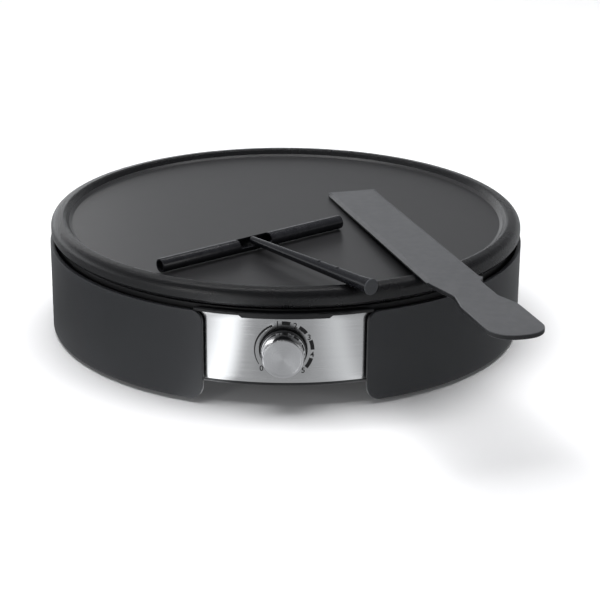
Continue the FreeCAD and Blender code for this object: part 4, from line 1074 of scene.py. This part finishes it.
def make_spreader_handle(m):
    start, end = HANDLE_START, HANDLE_END
    rod = turned("spreader_rod", rounded([
        (0, start),
        (TIP_R, start, 0.9),
        (3.7, 72.0, 60.0),
        (4.3, end - 10, 30.0),
        (4.95, end, 0.3),
        (3.9, end, 0.1),
        (3.9, end - 0.8),
        (0, end - 0.8),
    ]), m["utensil"], HANDLE_SEGMENTS)
    settle(rod, handle_matrix())
    ride(rod, "spreader", "utensil_black", "spreader_handle")
    for number, (reach, surface) in enumerate(NUBS):
        make_nub(number, reach, surface, m)
    cap = turned("spreader_cap", rounded([
        (0, end - 0.7),
        (CAP_PLUG_R, end - 0.7, 0.2),
        (CAP_PLUG_R, end + CAP_SEAM, 0.1),
        (CAP_R, end + CAP_SEAM, 0.1),
        (CAP_R, end + CAP_THICK, 0.35),
        (0, end + CAP_THICK),
    ]), m["cap"], HANDLE_SEGMENTS)
    settle(cap, handle_matrix())
    ride(cap, "spreader", "utensil_black", "spreader_end_cap")


# Spatula


def spatula_outline():
    """The plan of the spatula from its tip, along and across, in metres."""
    end = SPATULA_LENGTH / MM
    side = BLADE_HALF / MM
    shoulder = 213.0
    return rounded([
        (0, -side, 2.2),
        (216.0, -side, 26.0),
        (243.0, -12.3, 14.0),
        (263.0, -15.6, 14.0),
        (end, -15.6, 15.5),
        (end, 20.2, 15.5),
        (266.0, 20.2, 30.0),
        (249.0, 14.2, 14.0),
        (219.0, 14.4, 5.0),
        (shoulder, side, 2.0),
        (0, side, 2.2),
    ], closed=True, steps=12)


BEVEL_WIDTH = 3.0 * MM
BEVEL_SLOPE = 0.52
BEVEL_START, BEVEL_END = 3.0 * MM, 211.0 * MM
BEVEL_RUN_OUT = 1.5 * MM
BEVEL_SIDE = 13.5 * MM
UNDER_CHAMFER = 0.3 * MM
EDGE_STEP = 2.5 * MM
# Faces leaning less than this towards up count as side walls and get painted shade
SIDE_FACE = 0.4


def bevel_width(along):
    """The long bevels run from just behind the tip to the shoulders."""
    soft = SPATULA_SOFT_EDGE
    if along < BEVEL_START:
        return soft + (BEVEL_WIDTH - soft) * max(0.0, along / BEVEL_START)
    if along < BEVEL_END:
        return BEVEL_WIDTH
    return soft + (BEVEL_WIDTH - soft) * max(0.0, 1 - (along - BEVEL_END) / BEVEL_RUN_OUT)


def refine(path, step):
    """A closed path with points no further apart than about the step."""
    dense = []
    for i, start in enumerate(path):
        end = path[(i + 1) % len(path)]
        pieces = max(1, int(math.dist(start, end) / step))
        for k in range(pieces):
            share = k / pieces
            dense.append(tuple(a + (b - a) * share for a, b in zip(start, end)))
    return dense


def blade_rings(path):
    """Four rings: under the chamfer, the side's two edges, and inside the bevel."""
    count = len(path)
    rings = [[], [], [], []]
    for i, here in enumerate(path):
        way = unit(path[i - 1], path[(i + 1) % count])
        inward = (-way[1], way[0])
        wide = bevel_width(here[0]) if abs(here[1]) > BEVEL_SIDE else SPATULA_SOFT_EDGE
        drop = SPATULA_SOFT_EDGE + (wide - SPATULA_SOFT_EDGE) * BEVEL_SLOPE
        insets = (UNDER_CHAMFER, 0, 0, wide)
        heights = (0, UNDER_CHAMFER, SPATULA_THICK - drop, SPATULA_THICK)
        for ring, inset, up in zip(rings, insets, heights):
            ring.append((here[0] + inward[0] * inset, here[1] + inward[1] * inset, up))
    return rings


def blade_mesh():
    path = refine(spatula_outline(), EDGE_STEP)
    count = len(path)
    points = [p for ring in blade_rings(path) for p in ring]
    faces = [tuple(reversed(range(count))), tuple(range(3 * count, 4 * count))]
    for level in range(3):
        base = level * count
        for k in range(count):
            j = (k + 1) % count
            faces.append((base + k, base + j, base + count + j, base + count + k))
    mesh = mesh_from("spatula_blade", points, faces)
    work = bmesh.new()
    work.from_mesh(mesh)
    bmesh.ops.triangulate(work, faces=[f for f in work.faces if len(f.verts) > 4])
    work.to_mesh(mesh)
    work.free()
    return tidy_mesh(mesh, angle=SMOOTH_BELOW_BLADE)


def make_spatula(m):
    """A flat blade with two long bevels; its side walls get a darker copy of its nylon as painted
    shade.
    """
    piece = dressed(new_object("spatula_blade", blade_mesh()), m["spatula"], m["spatula_side_shade"])
    # Painted shade: faces turned to the side take the darker nylon
    for face in piece.data.polygons:
        face.material_index = int(abs(face.normal.z) < SIDE_FACE)
    place = Matrix.Translation((BLADE_TIP.x, BLADE_TIP.y, SPATULA_LOW.z))
    turn = Matrix.Rotation(BLADE_TURN, 4, "Z")
    lean = Matrix.Rotation(-BLADE_TILT, 4, "Y")
    settle(piece, place @ turn @ lean)
    return ride(piece, "spatula", "utensil_grey", "spatula")


# Stage, lights and camera


# How bright gloss sees the floor, by degrees round the plate from the dial
FLOOR_SHEEN = (
    (-180, 0.7), (-90, 0.22), (-60, 0.4), (-35, 0.62), (-27, 0.8), (-21, 1.75),
    (-17, 1.65), (-13, 0.45), (-4, 0.38), (4, 0.38), (11, 0.45), (19, 0.85),
    (24, 0.5), (60, 0.3), (90, 0.3), (180, 0.7),
)
SHEEN_TOP = max(level for _, level in FLOOR_SHEEN)
COOL = (0.955, 0.975, 1.0)
FLOOR_SIZE = 6.0
FLOOR_COLOUR = (0.86, 0.86, 0.87, 1)
FLOOR_LIFT = 0.03


def floor_sheen(tree):
    """What gloss sees of the floor: a bright card at the left, dim in front and to the right."""
    source = tree.nodes.new("ShaderNodeTexCoord").outputs["Object"]
    split = tree.nodes.new("ShaderNodeSeparateXYZ")
    tree.links.new(source, split.inputs[0])
    forward = maths(tree, "MULTIPLY", split.outputs[1], -1)
    angle = maths(tree, "ARCTAN2", split.outputs[0], forward)
    share = maths(tree, "ADD", maths(tree, "DIVIDE", angle, FULL_TURN), 0.5)
    ramp = tree.nodes.new("ShaderNodeValToRGB")
    stops = ramp.color_ramp.elements
    places = [degrees / 360 + 0.5 for degrees, _ in FLOOR_SHEEN]
    stops[0].position, stops[1].position = places[0], places[-1]
    for place in places[1:-1]:
        stops.new(place)
    for stop, (_, level) in zip(stops, FLOOR_SHEEN):
        stop.color = (*(level * tint / SHEEN_TOP for tint in COOL), 1)
    tree.links.new(share, ramp.inputs[0])
    return ramp.outputs[0]


def make_floor():
    """A pale matt floor, lifted a little for the camera, and a graded card for gloss."""
    size = FLOOR_SIZE
    points = [(-size, -size, 0), (size, -size, 0), (size, size, 0), (-size, size, 0)]
    floor = new_object("floor", mesh_from("floor", points, [(0, 1, 2, 3)]))
    material = bpy.data.materials.new("floor_white")
    material.use_nodes = True
    tree = material.node_tree
    tree.nodes.clear()
    output = tree.nodes.new("ShaderNodeOutputMaterial")
    matt = tree.nodes.new("ShaderNodeBsdfDiffuse")
    matt.inputs["Color"].default_value = FLOOR_COLOUR
    seen = tree.nodes.new("ShaderNodeEmission")
    lift = tree.nodes.new("ShaderNodeEmission")
    path = tree.nodes.new("ShaderNodeLightPath")
    tree.links.new(floor_sheen(tree), seen.inputs["Color"])
    seen.inputs["Strength"].default_value = SHEEN_TOP
    lifted = maths(tree, "MULTIPLY", path.outputs["Is Camera Ray"], FLOOR_LIFT)
    tree.links.new(lifted, lift.inputs["Strength"])
    plain = tree.nodes.new("ShaderNodeAddShader")
    tree.links.new(matt.outputs[0], plain.inputs[0])
    tree.links.new(lift.outputs[0], plain.inputs[1])
    both = tree.nodes.new("ShaderNodeMixShader")
    tree.links.new(path.outputs["Is Glossy Ray"], both.inputs[0])
    tree.links.new(plain.outputs[0], both.inputs[1])
    tree.links.new(seen.outputs[0], both.inputs[2])
    tree.links.new(both.outputs[0], output.inputs["Surface"])
    floor.data.materials.append(material)


WORLD_LEAST = 0.06


def make_world():
    """A bright low backdrop behind, brighter to the left, under a dim ceiling; white to the camera."""
    world = bpy.data.worlds.new("studio")
    bpy.context.scene.world = world
    world.use_nodes = True
    tree = world.node_tree
    background = tree.nodes["Background"]
    way = tree.nodes.new("ShaderNodeTexCoord").outputs["Generated"]
    split = tree.nodes.new("ShaderNodeSeparateXYZ")
    tree.links.new(way, split.inputs[0])
    across, along, up = split.outputs
    low = spread(tree, up, 1.0, 0.16, 0.1, 0.34)
    side = spread(tree, across, 1.5, 0.5, -0.25, 0.2)
    behind = spread(tree, along, 0.25, 1.0, -0.6, 0.5)
    level = maths(tree, "MULTIPLY", maths(tree, "MULTIPLY", low, side), behind)
    path = tree.nodes.new("ShaderNodeLightPath")
    shown = tree.nodes.new("ShaderNodeMix")
    shown.data_type = "RGBA"
    shown.inputs[6].default_value = (*COOL, 1)
    shown.inputs[7].default_value = (1, 1, 1, 1)
    tree.links.new(path.outputs["Is Camera Ray"], shown.inputs[0])
    tree.links.new(shown.outputs[2], background.inputs["Color"])
    lifted = maths(tree, "ADD", level, WORLD_LEAST)
    strength = maths(tree, "MAXIMUM", lifted, path.outputs["Is Camera Ray"])
    tree.links.new(strength, background.inputs["Strength"])


def area_light(name, spot, target, width, height, power):
    data = bpy.data.lights.new(name, "AREA")
    data.shape = "RECTANGLE"
    data.size = width
    data.size_y = height
    data.energy = power
    lamp = bpy.data.objects.new(name, data)
    bpy.context.scene.collection.objects.link(lamp)
    lamp.location = spot
    lamp.rotation_euler = (Vector(target) - Vector(spot)).to_track_quat("-Z", "Y").to_euler()
    return lamp


# Name, place, target, width, height and power of each lamp
LAMPS = (
    ("ceiling_softbox", (-0.1, 0.25, 1.9), (0, 0, 0), 2.2, 1.6, 56.0),
    ("back_strip", (-0.75, 1.8, 0.75), (0, 0, 0.06), 0.9, 0.3, 0.75),
    ("top_strip", (-0.1, 0.45, 1.4), (0, 0, 0.08), 1.3, 0.12, 2.4),
    ("left_strip", (-0.95, -1.15, 0.42), (0, -0.1, 0.05), 0.35, 0.7, 2.2),
    ("right_strip", (1.25, -0.85, 0.42), (0, -0.1, 0.05), 0.25, 0.7, 0.8),
)


def make_lights():
    """A wide soft box overhead that gloss doesn't see, and four strips that it does."""
    for name, spot, target, width, height, power in LAMPS:
        lamp = area_light(name, spot, target, width, height, power)
        lamp.visible_glossy = name != "ceiling_softbox"


def make_camera():
    data = bpy.data.cameras.new("camera")
    data.lens = CAMERA_LENS
    data.sensor_width = SENSOR
    data.clip_end = CAMERA_REACH
    camera = bpy.data.objects.new("camera", data)
    bpy.context.scene.collection.objects.link(camera)
    bpy.context.scene.camera = camera
    back = Vector((0, -math.cos(CAMERA_ELEVATION), math.sin(CAMERA_ELEVATION)))
    look = (-back).to_track_quat("-Z", "Y").to_matrix().to_4x4()
    camera.matrix_world = (
        Matrix.Translation(CAMERA_TARGET + back * CAMERA_DISTANCE)
        @ look
        @ Matrix.Rotation(CAMERA_ROLL, 4, "Z")
    )


bpy.context.scene.view_settings.view_transform = "Standard"
LATHE = lathe_tree()
GRAIN = moulded_grain_group()
WEAR = wear_group()
finishes = make_materials()
paint_nodes(finishes)
make_plate(finishes)
make_housing(finishes)
make_shells(finishes)
make_panel(finishes)
make_print(finishes)
make_knob(finishes)
make_spreader_head(finishes)
make_spreader_handle(finishes)
make_spatula(finishes)
make_floor()
make_world()
make_lights()
make_camera()
